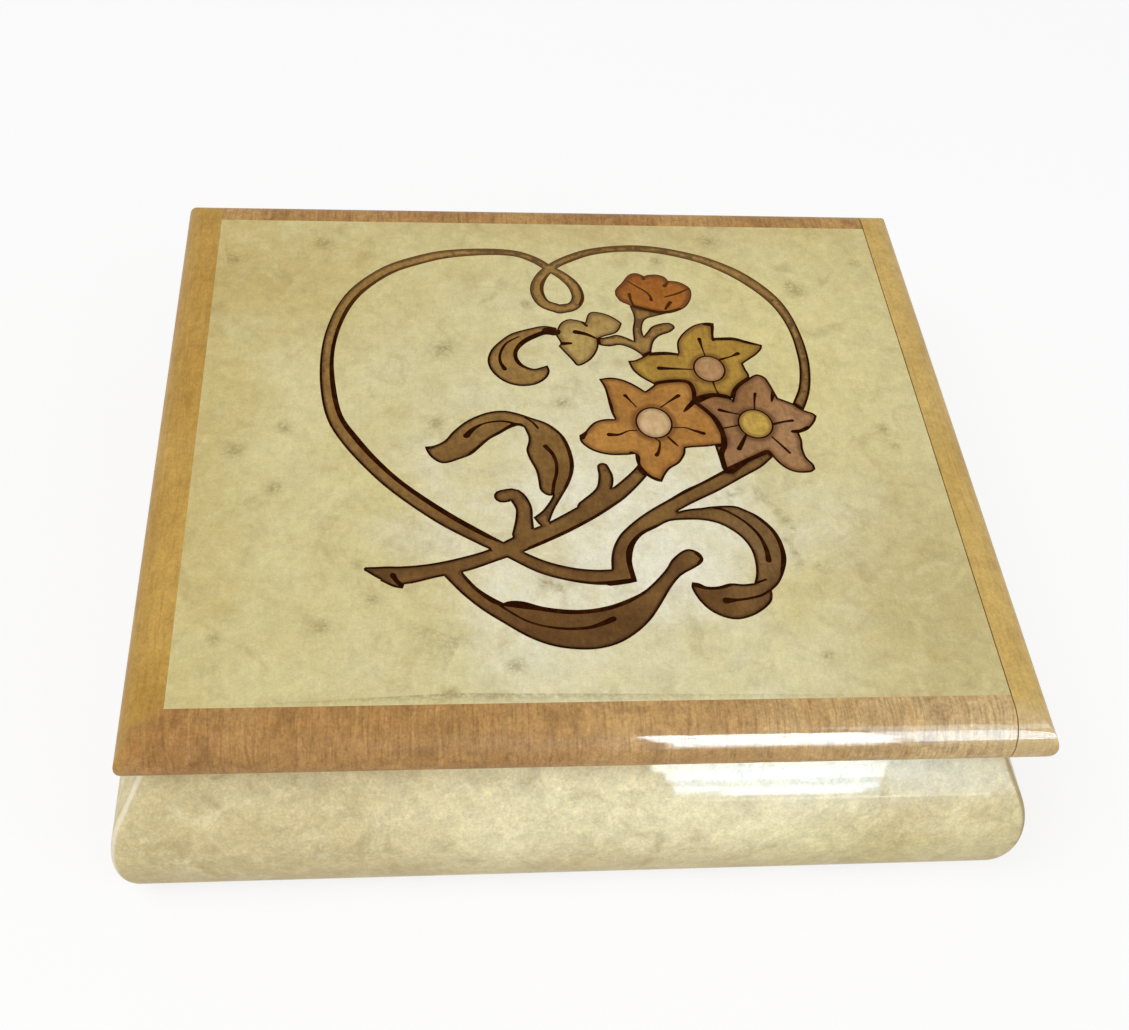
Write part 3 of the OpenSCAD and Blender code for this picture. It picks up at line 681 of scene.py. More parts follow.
VINE = [
    # heart-shaped stem: right lobe and half the loop, then the rest down to its foot
    stroke(0.3,31.5,2.6, -2.6,33.2,2.5, -3.6,37,2.6, -2.4,41,2.3, 0.2,44.2,2, 3.2,46.3,2.1, 7,48.2,2, 11.7,49.3,1.9,
        16.7,49.6,2, 21.3,49,2, 26,47.6,2.1, 30,45.8,2.3, 34.4,42.8,2.6, 38,39.2,2.6, 41,34.9,2.4, 42.8,30.4,2.1,
        43.8,25.2,1.9, 44.1,20.3,2, 43.9,15.7,2, 42.9,10.5,2.1, 41.2,6.3,2.3, 40,4,2),
    stroke(0.3,31.5,2.6, 2.8,32.3,2.4, 4,34.7,2.4, 3.5,38,2.4, 1.6,41,2.2, -1.2,43.6,1.9, -3.6,45.8,1.9,
        -7.2,47.6,1.8, -12.7,48,2, -20,47.2,2.4, -25.6,45.3,2.6, -31.3,42.2,2.6, -36.4,36.9,2.6, -39.3,31.5,2.5,
        -41.2,24.6,2.4, -41.9,17.7,2.4, -41.5,10.1,2.7, -40.2,3,2.8, -37.5,-2.5,3.1, -33.6,-8.4,3, -29.1,-13.8,3,
        -22.5,-19.9,3.1, -16.6,-24.3,2.8, -12,-27.4,2.5, -7,-30.6,2.8, -2.6,-32.2,2.9, 1.3,-32.9,3.1, 4.7,-32.9,3.2),
    # stem from the tail to the orange flower, and the barb of the tail
    stroke(-34.4,-30.9,0.9, -31.5,-31.8,3, -28.6,-32.2,3.7, -24,-31.3,3, -19,-30,3, -14.5,-28.2,2.8, -10,-25.8,3.6,
        -4,-22.6,3.6, 1,-19.3,3.7, 4.8,-16.6,3.3, 7.5,-14.3,3, 11,-10.3,2.6, 13,-7,2.4),
    outline([-32.4,-33.2, -30.3,-34.5], [-28.8,-34.9, -28.5,-33.8], [-29,-32]),
    # foot of the heart, stem to the mauve flower, scroll and the leaf at its end
    outline([4.2,-31.2, 4.4,-28.8, 5,-26.5, 6.2,-24.1, 7.9,-22.1, 10,-20.1, 12.4,-18.2, 15.3,-16.2, 18.2,-14.1,
        21.2,-12.4, 25.3,-9.7, 29,-7.5, 34,-4.4], [35.4,-5.8, 34.3,-6.7, 32,-9, 28.7,-11.2, 24.1,-14.3, 21.2,-16,
        18.8,-17.4], [16.4,-19, 18.2,-18.5, 20.6,-18.2, 22.4,-17.9, 25.9,-17.8, 27.9,-18.8, 29.7,-20.1, 31.5,-22.4,
        32.5,-24.7, 32.9,-27.1, 32.9,-29.4, 32.2,-31.8, 30.9,-34.4], [29.4,-36, 29.4,-36.8, 29,-38.2, 27.6,-39.7,
        25.6,-41, 23.2,-41.7, 20.9,-41.2, 18.8,-39.7, 17.4,-37.6, 16.6,-35.3], [16.8,-34.1, 17.9,-34.3, 19.1,-35,
        20.9,-35, 22.9,-34.4, 25,-34.6], [26.8,-34.4, 27.4,-32.4, 27.6,-30, 27.4,-27.6, 26.5,-25.3, 25,-23.4,
        22.9,-21.8, 20.3,-21, 17.6,-20.9, 14.7,-21.2, 12.4,-22.6, 10,-24.1, 8.5,-26.2, 7.8,-28.8, 7.7,-30.6],
        [8.1,-33.9, 6,-34.4, 3,-34.5]),
    # long leaf at the bottom
    outline([-22.3,-32.5, -19.7,-36, -16.7,-39.2, -13.3,-42, -10,-44.5, -6.7,-46.2, -3.3,-47, 0.3,-47.1, 3.7,-46.2,
        6.7,-44.3, 9.3,-41.7, 11.3,-38.7, 13.3,-35.3, 15.2,-32.8, 17.6,-31.2, 18.9,-30.2, 19.3,-29.2, 18.8,-28,
        17.4,-27.2, 16,-27.6, 14.1,-29.4, 12.7,-31.7, 9.3,-35.5, 6,-37.5, 2.7,-38.8, -0.7,-39.4, -4,-39.3, -7.3,-38.7,
        -10,-37.7, -12,-37.5], [-13.3,-37.9, -15.3,-36.5, -17.3,-34.7], [-19.2,-32, -20,-30.5, -22,-31]),
    # bent leaf at the left with the small one inside it
    outline([-25,-4.1, -23.4,-3.8, -21.6,-2.6, -20.2,-0.5, -18.1,1.8, -15.8,3.4, -13.4,4.4, -11,4.6, -8.7,3.9,
        -6.6,2.9, -4.3,1.8, -2.5,0.2, -1.1,-2, -0.3,-4.9, 0,-7.9, -0.3,-10.2, -1.2,-12.9, -2.5,-15.5, -4,-18.5],
        [-5,-21.3, -6.5,-22], [-7.6,-20.2, -6.1,-18.8, -4.9,-17], [-4.1,-15.4, -4.8,-15.4, -5.6,-14.9, -6.2,-13.8,
        -6.3,-12, -6.6,-9.6, -7.5,-7, -7.9,-4.9, -7.5,-3.2, -7.4,-1.7], [-8,0.5, -9,0.9, -10.5,0.2, -12.2,-1.1,
        -14,-2.4, -15.5,-4.1, -17.2,-6, -19.3,-7.1, -21.1,-7.9, -22.5,-7.9, -23.9,-6.7, -24.7,-5.2]),
    # curl beside the bud
    outline([-0.6,26.3, -2.9,26.8, -5.5,26.1, -8.9,24.7, -11.2,22.5, -12.9,20.1, -13.6,17.2, -12.9,14.4, -11,12,
        -8.4,10.8, -5.5,11.1, -3.4,12.7, -2.6,14.6], [-2.9,16.2, -4.1,15.7, -5.5,15.3, -7.2,16.3, -8.1,18.2,
        -7.9,20.1, -6.5,22, -4.6,23.4, -2.7,24.4, -0.8,24.2]),
    # hook and sprout on the main stem
    stroke(-9.4,-24,3.8, -9.1,-20.5,2.9, -9.1,-17.8,2.8, -10.4,-15.3,2.9, -12.4,-15.5,2.9),
    stroke(1.2,-18,3, 4.2,-14.6,2.6, 5.1,-11.5,2.6, 4.8,-8.9,2),
    # stems of the carnation and the bud
    outline([13.5,32.6, 14,29.3, 13.4,26], [13.3,22.9, 12,23.8, 10.3,24.5, 8.7,24], [6.6,23.4, 6.7,21.8, 8.7,21.3,
        10.7,21.7, 12.7,20.7, 14.2,19.2], [14.6,18.2, 16.2,18.6], [16.3,20.2, 17,22.7, 18.3,24.3, 20.3,25.3,
        21.4,26.7, 20.5,27.9, 18.7,27.7, 17,26.8, 16,25.3], [15.3,24.2, 15.2,26.3, 16,28.7, 18,29.7], [20,30.4,
        20.5,31.5, 17,32.5]),
]
YELLOW = outline([11.7,17.5, 13,17.7, 14.3,18.5, 16,19.7, 18.7,20], [21.1,19.6, 21.1,21, 21.3,22.7, 22.2,24.5,
    23.7,26.3, 25.3,27.5, 27.3,28.1], [28.8,27.9, 28.7,26.7, 28.4,25], [28.3,23.9, 30,24, 32,24, 34,23.2, 36,22.4],
    [37,22, 36.7,20.8, 35.5,19.3, 34,18], [32.7,16.9, 33,15.3, 33.4,13.7], [32.8,11.5, 30,8, 26,7.5, 22,7, 19,9,
    16.5,10.6], [15.8,11.3, 13.5,13.3, 12.2,15.3])
MAUVE = outline([22,7.2, 23.7,8.2, 26,8.8, 28.3,8.4], [29.4,7.6, 29.8,9.3, 31,11.2, 32.7,12.7, 34,13.8, 35,14.1,
    36.2,13.3, 36.8,11.7, 37.2,10], [37.7,8, 39,7.3, 40.3,6.5, 41.8,5, 43.3,4.2], [43.9,3.5, 43.3,2, 42,0.3, 41,-0.4],
    [40,-0.8, 40.2,-2.7, 40,-4.7, 40.3,-6.7, 41.2,-8.3], [41.3,-9.5, 40.3,-10.2, 38.3,-10.3, 36.7,-9.7, 35.3,-8.3,
    34.3,-6.5], [33.8,-5.3, 32,-6.2, 30,-7.3, 28,-9], [26.7,-10.2, 25.3,-9.7, 25,-7.3, 24.8,-5.3], [24.6,-3.6, 23,0,
    21.5,4])
ORANGE = outline([6,12.7, 8,13.1, 10,12.7, 12,11.5], [14,9.6, 15.2,10.7, 16.3,11.7, 18.7,12.2, 21,12.3, 22.2,11.7,
    22.7,10, 22.6,8], [22.4,7, 23.3,6, 25,3.7, 25.8,1.7, 26.2,0, 26.6,-2], [26.5,-3.7, 25,-3.8, 23.3,-4.1, 20.7,-4.3],
    [19.5,-4.5, 19.2,-6, 18,-8, 16.3,-9.3, 15.3,-10.7], [14.5,-12.4, 13.5,-12.1, 12.3,-11.2, 11,-9.3, 10.6,-7.3],
    [10.6,-5.9, 9,-6.1, 6.3,-6.1, 4,-5.4, 2.5,-4.3, 1.5,-2.9], [1.4,-1.4, 2.5,-0.4, 3.4,0.9, 4.5,2, 6.2,2.6],
    [7.9,2.6, 7.5,4, 7.2,6, 7,8.7, 6.7,10.7])
BUD = outline([-0.9,24.2, -0.5,26, 0.3,27.7, 1.7,28.7, 3.3,28.5], [4.8,27.9, 5.3,29.7, 6,30.7, 7.3,30.8, 9.3,30,
    10.8,28.7], [11.6,27.7, 11,26, 10,24.8, 8,24], [6.8,23.3, 6.8,21.7, 6.2,19.7, 5,17.7, 3.3,16.3, 2.3,16.2,
    1.5,17.7, 0.3,19.7], [-0.6,21.3, -0.2,22.2])
CARNATION = outline([11.1,35.7, 11.3,37.3, 12.7,39.3, 13.7,41, 14.7,42, 16,42.1], [17.2,41.3, 18,41.7, 19.7,41.8,
    21,41.2], [21.7,40, 23,39.9, 24.3,39.3, 25.5,38, 25.7,36.3, 25.2,34.3, 24,32.3, 22,31, 20,30.5, 18,31, 16,31.7,
    14.3,32.3, 13,33.1, 11.8,34])
EYES = [(14.7, 1.7, 3.1, 3.7), (26.3, 15.5, 2.8, 3.35), (32.6, 1.5, 3, 3.5)]     # middle and half sizes

# Burnt lines inside the pieces, as x, y, width by turns
BURNT = [
    # heart: its shaded inner side, the loop and the crossing
    [-20,46.4,0.3, -25.2,44.3,0.5, -30.6,41.5,0.6, -35.7,36.3,0.7, -38.5,31.3,0.75, -40.3,24.5,0.8, -41,17.7,0.85,
     -40.6,10.2,0.95, -39.2,3.4,1.1, -36.5,-2,1.2, -32.7,-7.6,1.25, -28.2,-12.9,1.3, -21.8,-19,1.2, -16,-23.6,0.9,
     -13.6,-25.1,0.5],
    [1.5,43.4,1.1, 3.1,41,0.8, 4.5,38.3,0.6, 4.9,35.3,0.6, 4.2,32.8,0.5],
    [-1.3,41.2,0.4, -2.5,38.8,0.6, -2.6,36.2,0.6, -1.9,34,0.4],
    [1.2,43.5,0.9, 3,45.3,0.6, 7,47.2,0.5, 11.5,48.4,0.4],
    [-4,-33.2,0.4, 1.5,-34.2,0.7, 7.6,-33.6,0.9],
    # tail and main stem
    [-30.3,-32.2,1, -29.8,-33.2,0.8, -28.9,-34.3,0.8],
    [-8.6,-26.7,0.5, -4.4,-24.5,0.7, -0.6,-22.2,0.7, 3,-19.8,0.6, 6.6,-16.8,0.4],
    # stem to the mauve flower, scroll and its leaf
    [12.6,-18.3,0.4, 18.2,-14.5,0.7, 24.4,-10.5,0.9, 29,-7.8,0.9, 33.4,-5.2,0.7],
    [12.4,-22.2,0.6, 9.6,-24.2,1, 7.8,-26.8,1.2, 7.3,-29.4,1.1, 7.6,-33,1],
    [22.4,-18.1,0.7, 24.4,-18.9,0.45, 26.5,-20.6,0.45, 28.2,-22.6,0.5, 29.4,-25,0.6, 29.9,-27.6,0.8, 29.9,-29.7,1],
    [29.2,-19.9,0.6, 31.4,-22.7,0.8, 32.4,-25.7,0.9, 32.5,-28.8,0.9, 31.6,-32.4,0.5],
    [28.8,-33.7,0.4, 26.8,-34.5,0.5],
    [21.8,-37.9,1.3, 23.5,-37.8,0.6, 25.6,-37.5,0.5, 27.6,-36.9,0.5, 29,-36,0.5],
    [17.1,-34.6,0.9, 19.1,-35.3,0.7, 21,-35.3,0.6, 23,-34.8,0.4],
    [16.5,-19,0.9, 17.6,-18.8,0.5],
    # long leaf
    [-19,-32.6,0.8, -17,-35.3,1, -14.6,-37.6,1, -12.4,-38.1,1.2, -8,-39,1, -3,-39.8,1, 2,-39.4,0.9, 6,-38,0.7,
     9,-36.1,0.5],
    [-13.8,-38.4,0.5, -12.3,-39.7,0.4, -10,-41.4,0.35, -7.3,-42.5,0.4, -4,-43.1,0.5, -0.7,-43,0.6, 1.3,-42.4,0.8,
     3,-41.6,1, 3.6,-41.3,1],
    [18.4,-28.1,0.8, 19,-29.2,0.6, 18.4,-30.2,0.5],
    # bent leaf
    [-8.6,1,1, -9.8,0.9,1.2, -11.7,-0.4,0.8, -13.8,-2,0.7, -15.8,-4,0.6, -17.8,-6.1,0.4],
    [-17.9,-1.5,1.2, -16.7,0.1,0.8, -14.9,1.4,0.4, -12.5,2,0.45, -10.5,1.8,0.5, -9,1,0.7],
    [-7.7,2.9,0.3, -6.4,1.7,0.4, -5.6,0.4,0.45],
    [-3.4,0.8,0.5, -1.7,-1.3,0.6, -0.7,-4.7,0.7, -0.4,-7.9,0.7, -0.8,-10.8,0.6, -1.9,-13.6,0.5],
    [-4.6,-4,0.9, -3.5,-5.8,0.7, -3,-7.9,0.6, -3.1,-10.2,0.6, -3.7,-12.6,0.6, -4.1,-15.2,0.6],
    [-24.8,-4.4,0.9, -23.6,-4.2,0.6],
    # curl
    [-7.7,23.8,0.3, -10,22,0.45, -11.2,19.3,0.5, -11.3,17,0.6, -10.6,15.2,0.9],
    [-2.2,25.2,1.4, -4.8,24,1.1, -7,22.2,1.1, -8.3,20,0.9, -8.4,17.8,0.8, -7.6,16.1,0.6, -6,15.2,0.4],
    [-2.4,25.4,2, -0.9,25.2,2],
    # orange flower
    [12,5.6,0.25, 11,7.3,0.35, 10.3,8.5,0.75],
    [16.3,5.5,0.25, 18,7,0.35, 19.8,8.5,0.8],
    [17.8,0.5,0.25, 20,0.5,0.3, 21.5,-0.2,0.5, 23.1,-0.9,0.75],
    [14.5,-2.2,0.25, 15.2,-3,0.3, 14.8,-5,0.5, 14.3,-6.1,0.8],
    [11.5,-0.2,0.25, 10,-0.3,0.3, 8.3,-1.2,0.5, 6.6,-1.2,0.9],
    [16.7,-1.7,0.3, 17.5,-2.9,0.5, 18.2,-3.9,0.3],
    [22.2,6.8,1, 21,5.3,0.8, 20.3,4.5,0.3],
    [7.4,3,0.9, 7.5,5.5,0.8, 7.3,8,0.5],
    [10,-5.6,0.8, 10.9,-6.5,1, 11,-8.5,0.7, 12.4,-11,0.8, 14,-12,0.8],
    [1.9,-1.9,1, 2.6,-0.8,0.6],
    # yellow flower
    [23.3,15.3,0.25, 19.3,15.5,0.6, 17.2,15.6,1],
    [26,18.8,0.25, 25.7,21.3,0.35, 25.5,23.5,0.8],
    [28.7,18,0.6, 30.7,18.8,0.35, 32.1,19.6,0.9],
    [26.5,12,0.4, 26.8,10,0.25, 27.2,8.6,0.6],
    [16,19.2,0.7, 18.7,19.5,0.8, 20.7,19.4,0.7, 21,19,0.3],
    [27,27.6,0.7, 28.4,27.2,0.9, 28.2,25,0.6, 28.1,23.3,0.7],
    [28.5,23.5,0.7, 32,23.5,0.7, 34,22.7,0.6, 36.5,22,0.5],
    # mauve flower
    [30.3,3.8,0.25, 28.7,4.2,0.4, 26.7,4.9,0.8],
    [33,5,0.25, 33.3,7.3,0.4, 33.7,9.1,0.6],
    [35.7,1.4,0.6, 37.7,2,0.5, 39.3,2.3,0.7],
    [35,-1.7,0.3, 36.7,-4.3,0.5, 37.5,-5.6,0.5],
    [30.5,-1.3,0.5, 29.8,-2.7,0.7, 28.8,-4.6,0.9],
    [29.7,1.2,0.3, 28,0.7,0.35, 26.4,0.3,0.3],
    [30,9.3,0.7, 29.4,7,0.4],
    [37.1,9.6,0.8, 36.7,8.3,0.7, 36.4,7.1,0.3],
    [41.8,0.6,0.8, 40.5,-0.3,1, 38.9,-0.4,0.7],
    [23.8,5.4,0.7, 25.7,2.6,0.8, 26.4,-0.5,0.9, 26.3,-3.8,1.1, 25.5,-6,1, 25.7,-9.4,0.9],
    [22.4,7,1.2, 23.4,7.2,0.9, 26,8.4,0.5, 28.6,8,0.6],
    # bud
    [2.8,25.2,1.1, 4.7,24.6,0.8, 6.6,23.4,0.4],
    [4.3,27.8,0.5, 5,26.9,0.6],
    [0.2,22,0.9, 1.7,22.1,0.6],
    # carnation
    [13.8,39.8,0.3, 15.3,38.3,0.4, 17,36.7,0.4, 17.7,35.3,0.5, 17.8,34.3,0.7],
    [13.8,36,0.7, 13.9,34.3,0.5, 14.3,32.7,0.4],
    [16.8,41.6,0.5, 17,40.4,0.7],
    [21.7,39.8,0.4, 20.8,38.5,0.9],
    [25.4,37.8,0.3, 23,36.3,0.5, 20.4,35.2,0.3],
    [21.3,33.7,0.8, 20.2,31.8,0.5],
    [14.4,32.6,0.5, 18,31.2,0.6, 20.4,30.9,0.8, 23,32,0.4],
]

# Pieces from the lowest to the topmost: name, outlines, material, record slot, nodes that they stand for
LAYERS = [
    ("burr_field", None, "field", "field_veneer", ("lid_veneer",)),
    ("walnut_vine", VINE, "walnut", "walnut_inlay", ("vine_inlay",)),
    ("yellow_petals", [YELLOW], "yellow", "yellow_inlay", ("yellow_flower",)),
    ("mauve_petals", [MAUVE], "mauve", "mauve_inlay", ("mauve_flower",)),
    ("orange_petals", [ORANGE], "orange", "orange_inlay", ("orange_flower",)),
    ("red_carnation", [CARNATION], "red", "red_inlay", ("carnation_inlay",)),
    ("pale_bud", [BUD], "pale", "pale_inlay", ("bud_inlay",)),
    ("pink_eyes", [oval(*eye) for eye in EYES[:2]], "pink", "pink_inlay", ("pink_centres",)),
    ("gold_eye", [oval(*EYES[2])], "gold", "gold_inlay", ("yellow_centre",)),
    ("burnt_lines", [stroke(*line) for line in BURNT], "ink", "walnut_inlay", ()),
]


EDGE_STEP = 0.45        # spacing of points along the pieces' edges
GRID_STEP = 0.8         # spacing of points inside them


def line_width(points):
    """Width of the burnt line at each point: finer at the back and round the flowers' eyes."""
    width = np.interp(points[:, 1], (15, 45), (LINE_W, LINE_W_BACK))
    for x, y, rx, ry in EYES:
        off = np.abs(np.hypot((points[:, 0] - x) / rx, (points[:, 1] - y) / ry) - 1)
        width = np.where(off < 0.25, LINE_W_EYE, width)
    return width


def spread(loop, step):
    """A closed loop with points no further apart than step."""
    out = []
    for a, b in zip(loop, np.roll(loop, -1, 0)):
        count = max(1, int(np.ceil(np.linalg.norm(b - a) / step)))
        out += [a + (b - a) * k / count for k in range(count)]
    return np.array(out)


def inside(points, loop):
    found = np.zeros(len(points), bool)
    for a, b in zip(loop, np.roll(loop, -1, 0)):
        if a[1] != b[1]:
            crosses = (a[1] > points[:, 1]) != (b[1] > points[:, 1])
            found ^= crosses & (points[:, 0] < a[0] + (points[:, 1] - a[1]) * (b[0] - a[0]) / (b[1] - a[1]))
    return found


def edge_distance(points, segments):
    best = np.full(len(points), 99.0)
    for a, b in segments:
        near = np.abs(points - (a + b) / 2).max(1) < 6
        p, ab = points[near] - a, b - a
        t = np.clip(p @ ab / max(ab @ ab, 1e-12), 0, 1)
        best[near] = np.minimum(best[near], np.linalg.norm(p - t[:, None] * ab, axis=1))
    return best


def triangulate(loops, extra):
    points, edges = [], []
    for loop in loops:
        first = len(points)
        points += [Vector(p) for p in loop]
        edges += [(first + k, first + (k + 1) % len(loop)) for k in range(len(loop))]
    points += [Vector(p) for p in extra]
    verts, _, tris, *_ = delaunay_2d_cdt(points, edges, [], 0, 1e-4)
    return np.array([(v.x, v.y) for v in verts]), np.array(tris)


def label(points, layers):
    """Number of the topmost layer at each point."""
    found = np.zeros(len(points), int)
    for number, (_, loops, *_) in enumerate(layers):
        for loop in loops or []:
            found[inside(points, loop)] = number
    return found


def rims(tris, labels):
    """For each layer, the closed loops of vertices round its pieces, wood on the left."""
    owner = {(int(a), int(b)): name for t, name in zip(tris, labels) for a, b in zip(t, np.roll(t, -1))}
    following = {}
    for (a, b), name in owner.items():
        if name and owner.get((b, a)) != name:
            following.setdefault((name, a), []).append(b)
    loops = []
    while following:
        name, first = next(iter(following))
        loop, at = [], first
        while (name, at) in following:
            loop.append(at)
            step = following[(name, at)].pop()
            if not following[(name, at)]:
                del following[(name, at)]
            at = step
        loops.append(loop)
    return loops


def moved_in(loop):
    """A loop moved to its inner side by the width of a burnt line."""
    run = np.roll(loop, -1, 0) - np.roll(loop, 1, 0)
    run /= np.maximum(np.linalg.norm(run, axis=1, keepdims=True), 1e-9)
    return loop + line_width(loop)[:, None] * np.stack([-run[:, 1], run[:, 0]], 1)


def slab(name, flat, tris, shades, material, thickness):
    """Triangles of the lid's face as a closed piece that carries the point attributes in shades."""
    used = np.unique(tris)
    index = {int(v): k for k, v in enumerate(used)}
    n = len(used)
    faces = [tuple(index[int(v)] for v in t) for t in tris]
    sides = {(a, b) for t in faces for a, b in zip(t, t[1:] + t[:1])}
    sides = [(a, b) for a, b in sides if (b, a) not in sides]
    faces += [tuple(v + n for v in t[::-1]) for t in faces]
    faces += [(b, a, a + n, b + n) for a, b in sides]
    verts = [(x + LID_SHIFT, y, z) for z in (TOP_Z, TOP_Z - thickness) for x, y in flat[used]]
    obj = add_mesh(name, verts, faces, material)
    for key, values in shades.items():
        obj.data.attributes.new(key, "FLOAT", "POINT").data.foreach_set("value", np.tile(values[used], 2))
    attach(obj, "lid")
    return obj


# Grey-brown marks in the field, as x, y, radius by turns
MARKS = np.reshape([-43.5,50,1.8, -60,45,1.7, -21.5,20.5,1.9, -23,1.5,1.6, -48.5,0.5,1.3, -56.5,-5,1.6,
    -49.5,-13.5,1.5, -33.5,-37,1.2, -41,-42,1.3, -57,-44,1.1, -12,-50,1.4, -22,-55,1.2, -20,-45,0.5, 46,37.5,1.9,
    45,39.5,1.2, 59,46,1, 55,0.5,1.2, 56.5,-4,1, 38,-31,0.8, -1,6.5,1.3, -6.4,-34,1.2, -4.4,-35,1, 31,52,1.6,
    20,46,1.3, 30.4,-14.6,0.7, 30.8,-16,0.6, 31.8,-17.4,0.6, 33,-19.2,0.7, 34.2,-21,0.8, 35.2,-22.6,0.6,
    25.5,-15.3,0.8, 25.2,-17,0.6, 27.4,-14.4,0.7, 33.6,-25.5,0.7, 34.6,-28.4,0.7, 34.9,-30.6,0.7, -6,33,1.2,
    -36,-30,0.8, 36,-49,1], (-1, 3))


def smudge(points):
    """How strongly the marks show at each point, from 0 to 1."""
    found = np.zeros(len(points))
    for x, y, r in MARKS:
        found = np.maximum(found, np.exp(-((points - (x, y)) ** 2).sum(1) / r ** 2))
    return found.astype(np.float32)


def make_marquetry():
    """One plane cut into all the pieces of the lid's face, each given the veneer's thickness."""
    low, high = node_mm("lid_veneer")
    half_x, half_y = (high[0] - low[0]) / 2, high[1]
    field_edge = np.array([(-half_x, -half_y), (half_x, -half_y), (half_x, half_y), (-half_x, half_y)])
    drawn = [loop for _, loops, *_ in LAYERS[1:-1] for loop in loops]
    verts, tris = triangulate([field_edge] + drawn, [])
    loops = [spread(verts[loop], EDGE_STEP) for loop in rims(tris, label(verts[tris].mean(1), LAYERS[:-1]))]
    segments = [pair for loop in loops for pair in zip(loop, np.roll(loop, -1, 0))]
    xs, ys = np.meshgrid(np.arange(2 - half_x, half_x - 1, GRID_STEP), np.arange(2 - half_y, half_y - 1, GRID_STEP))
    grid = np.stack([xs.ravel(), ys.ravel()], 1)
    grid += np.random.default_rng(5).uniform(-0.15, 0.15, grid.shape)
    far = edge_distance(grid, segments)
    wanted = (far < 2) | (smudge(grid) > 0.01) | (label(grid, LAYERS[:-1]) > 0)
    grid = grid[(far > LINE_W + 0.2) & wanted]
    burnt = LAYERS[-1][1]
    flat, tris = triangulate([field_edge] + loops + [moved_in(loop) for loop in loops] + burnt, grid)
    centres = flat[tris].mean(1)
    labels = label(centres, LAYERS[:-1])
    line = edge_distance(centres, segments) < line_width(centres)
    for loop in burnt:
        line |= inside(centres, loop)
    labels[line & (labels > 0)] = len(LAYERS) - 1
    shades = {"edge": edge_distance(flat, segments).astype(np.float32), "smudge": smudge(flat)}
    for number, (name, _, mat, slot, stands_for) in enumerate(LAYERS):
        piece = slab(name, flat, tris[labels == number], shades, MAT[mat], high[2] - low[2])
        if stands_for:
            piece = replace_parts(piece, *stands_for)


# ---- Lights and stage ----

def area_light(name, at_mm, towards_mm, size_mm, power):
    """A flat lamp that the camera doesn't see."""
    data = bpy.data.lights.new(name, "AREA")
    data.shape = "RECTANGLE"
    data.size, data.size_y = (v * MM for v in size_mm)
    data.energy = power
    lamp = bpy.data.objects.new(name, data)
    at = Vector(at_mm) * MM
    turn = (Vector(towards_mm) * MM - at).to_track_quat("-Z", "Y")
    lamp.matrix_world = Matrix.Translation(at) @ turn.to_matrix().to_4x4()
    bpy.context.scene.collection.objects.link(lamp)
    lamp.visible_camera = False
    return lamp


# Panes of the window that the lacquer reflects: left, right, bottom, top in mm, brightness, colour
WINDOW_Y = -300
DAY, SKY = (0.78, 0.92, 1.0), (0.6, 0.8, 1.0)
PANES = [
    (48, 122, 11.6, 20, 56, DAY), (52, 121, 8.9, 11.5, 56, DAY), (55, 120, 7.6, 8.2, 34, DAY),
    (55, 119, 5.9, 6.8, 56, DAY), (70, 114, 4.2, 5.6, 56, DAY), (62, 160, 1.4, 2.3, 34, DAY),
    (52, 122, 34, 62, 100, DAY), (52, 122, 68, 98, 125, DAY), (50, 126, 104, 150, 125, DAY),
    (50, 126, 158, 230, 105, DAY), (122, 134, 8, 14, 22, SKY), (134, 176, 3, 14, 12, SKY),
    (122, 134, 2.6, 7.8, 10, SKY), (126, 180, 40, 230, 58, SKY), (140, 230, 232, 420, 20, SKY),
]
BACKING = (55, 119, 4.4, 12, 24, (0.3, 0.6, 1.0))       # glazing bars between the lower panes
LIT_BY_WINDOW = ("front_wall_veneered", "left_wall_veneered", "right_wall_veneered", "front_strip", "slide_rail")


def make_window():
    """The window shows in the walls and the front edge only, so it never veils the lid's picture."""
    mirrors = bpy.data.collections.new("window_mirrors")
    for name in LIT_BY_WINDOW:
        mirrors.objects.link(bpy.data.objects[name])
    for k, (x0, x1, z0, z1, bright, shade) in enumerate(PANES + [BACKING]):
        y = WINDOW_Y - (k == len(PANES))
        middle = ((x0 + x1) / 2, y, (z0 + z1) / 2)
        ahead = (middle[0], 0, middle[2])
        area = (x1 - x0) * (z1 - z0) * MM * MM
        pane = area_light(f"pane_{k}", middle, ahead, (x1 - x0, z1 - z0), bright * pi * area)
        pane.data.color = shade
        pane.visible_diffuse = False
        pane.light_linking.receiver_collection = mirrors


WHITE = (1, 1, 1, 1)
FLOOR_SHADE = (0.9, 0.9, 0.9, 1)
FLOOR_REACH = 3000
FLOOR_Z = -0.05         # just below the box, so that the two never coincide
FADE_FROM, FADE_TO = 250, 900       # the floor turns white between these distances
WORLD_LIGHT = 0.55      # strength of the white surroundings as light


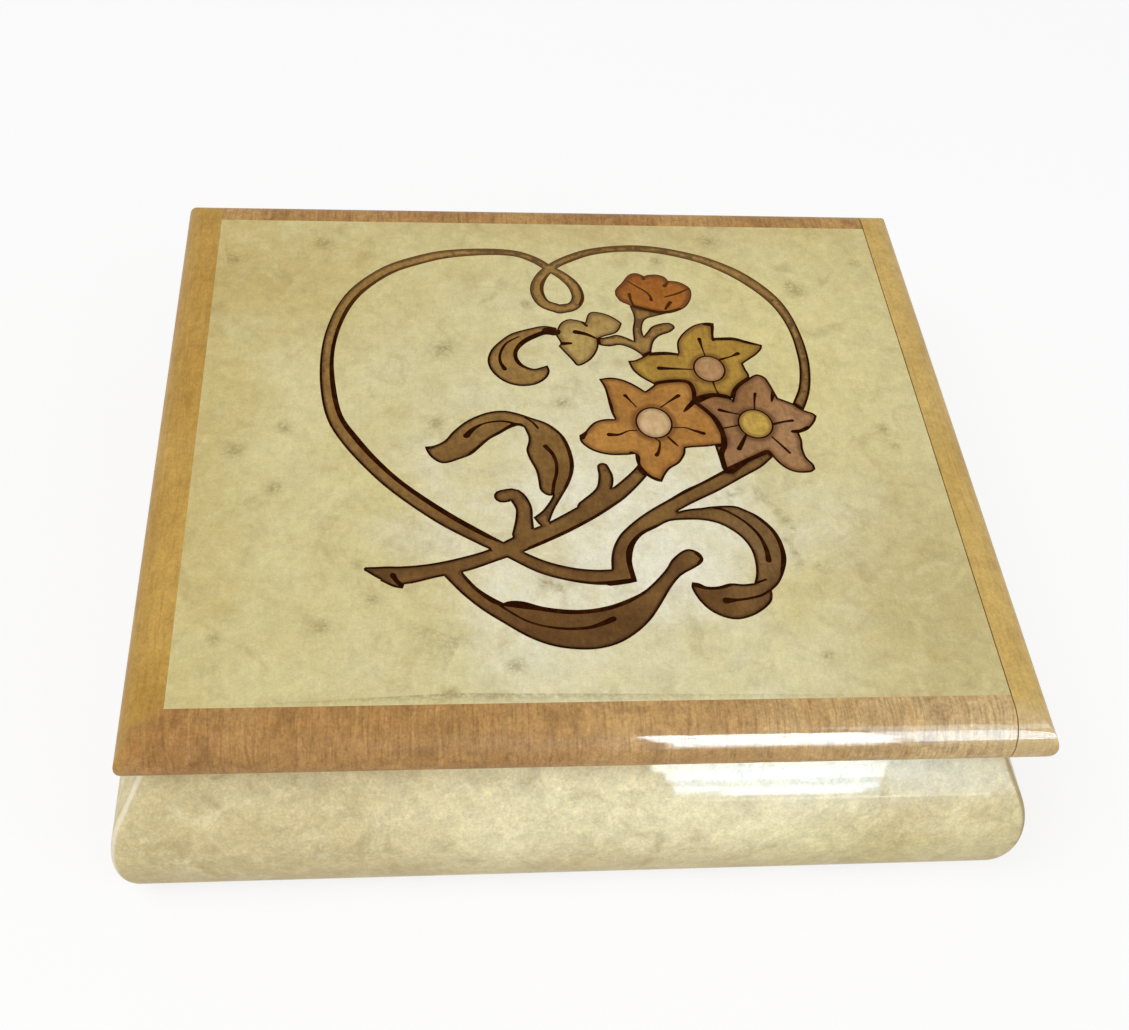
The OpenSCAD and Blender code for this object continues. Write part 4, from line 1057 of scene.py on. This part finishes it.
def make_stage():
    """A pale floor that keeps the shadow and turns white further out, in a white world."""
    s = Shader("pale_floor", Roughness=0.9, Specular_IOR_Level=0.1)
    s.put(s.bsdf.inputs["Base Color"], FLOOR_SHADE)
    x, y, _ = s.axes()
    glow = s.node("Emission", {"Color": WHITE, "Strength": 1.0})
    white = s.mul(s.seen_directly(), s.fit(s.length(x, y), FADE_FROM, FADE_TO, 0.8, 1.0))
    blend = s.node("MixShader", {0: white, 1: s.bsdf.outputs[0], 2: glow.outputs[0]})
    s.put(s.tree.nodes["Material Output"].inputs["Surface"], blend.outputs[0])
    r = FLOOR_REACH
    make_object("floor", [(x, y, FLOOR_Z) for x, y in ((-r, -r), (r, -r), (r, r), (-r, r))],
                         [(0, 1, 2, 3)], s.mat)
    world = bpy.data.worlds.new("studio")
    world.use_nodes = True
    bpy.context.scene.world = world
    w = Tree(world.node_tree)
    level = w.node("MapRange", {"Value": w.seen_directly(), "To Min": WORLD_LIGHT, "To Max": 1.0})
    background = w.tree.nodes["Background"]
    w.put(background.inputs["Strength"], level.outputs["Result"])
    w.put(background.inputs["Color"], WHITE)


KEY_WATTS, FILL_WATTS = 3.3, 1.4


def make_lights():
    key = area_light("key", (-350, -250, 800), (0, 0, 20), (500, 500), KEY_WATTS)
    fill = area_light("fill", (500, -500, 500), (0, 0, 20), (500, 500), FILL_WATTS)
    key.visible_glossy = fill.visible_glossy = False


SLOTS = {
    "left_rail": ("left_rail",), "right_rail": ("slide_rail",), "strip": ("front_strip", "back_strip"),
    "core": ("lid_core",), "panel": ("base_panel",),
    "brass": ("keeper_plate", "keeper_screws", "body_leaf_left", "body_leaf_right", "body_leaf_screws",
              "hinge_pins", "lid_leaf_left", "lid_leaf_right", "lid_leaf_screws", "locking_pins"),
}


def dress_nodes():
    for mat, names in SLOTS.items():
        for name in names:
            for slot in nodes[name].material_slots:
                slot.link = "OBJECT"
                slot.material = MAT[mat]


make_camera()
make_stage()
make_lights()
dress_nodes()
make_walls()
make_linings()
make_marquetry()
make_window()

bpy.context.scene.view_settings.view_transform = "Standard"
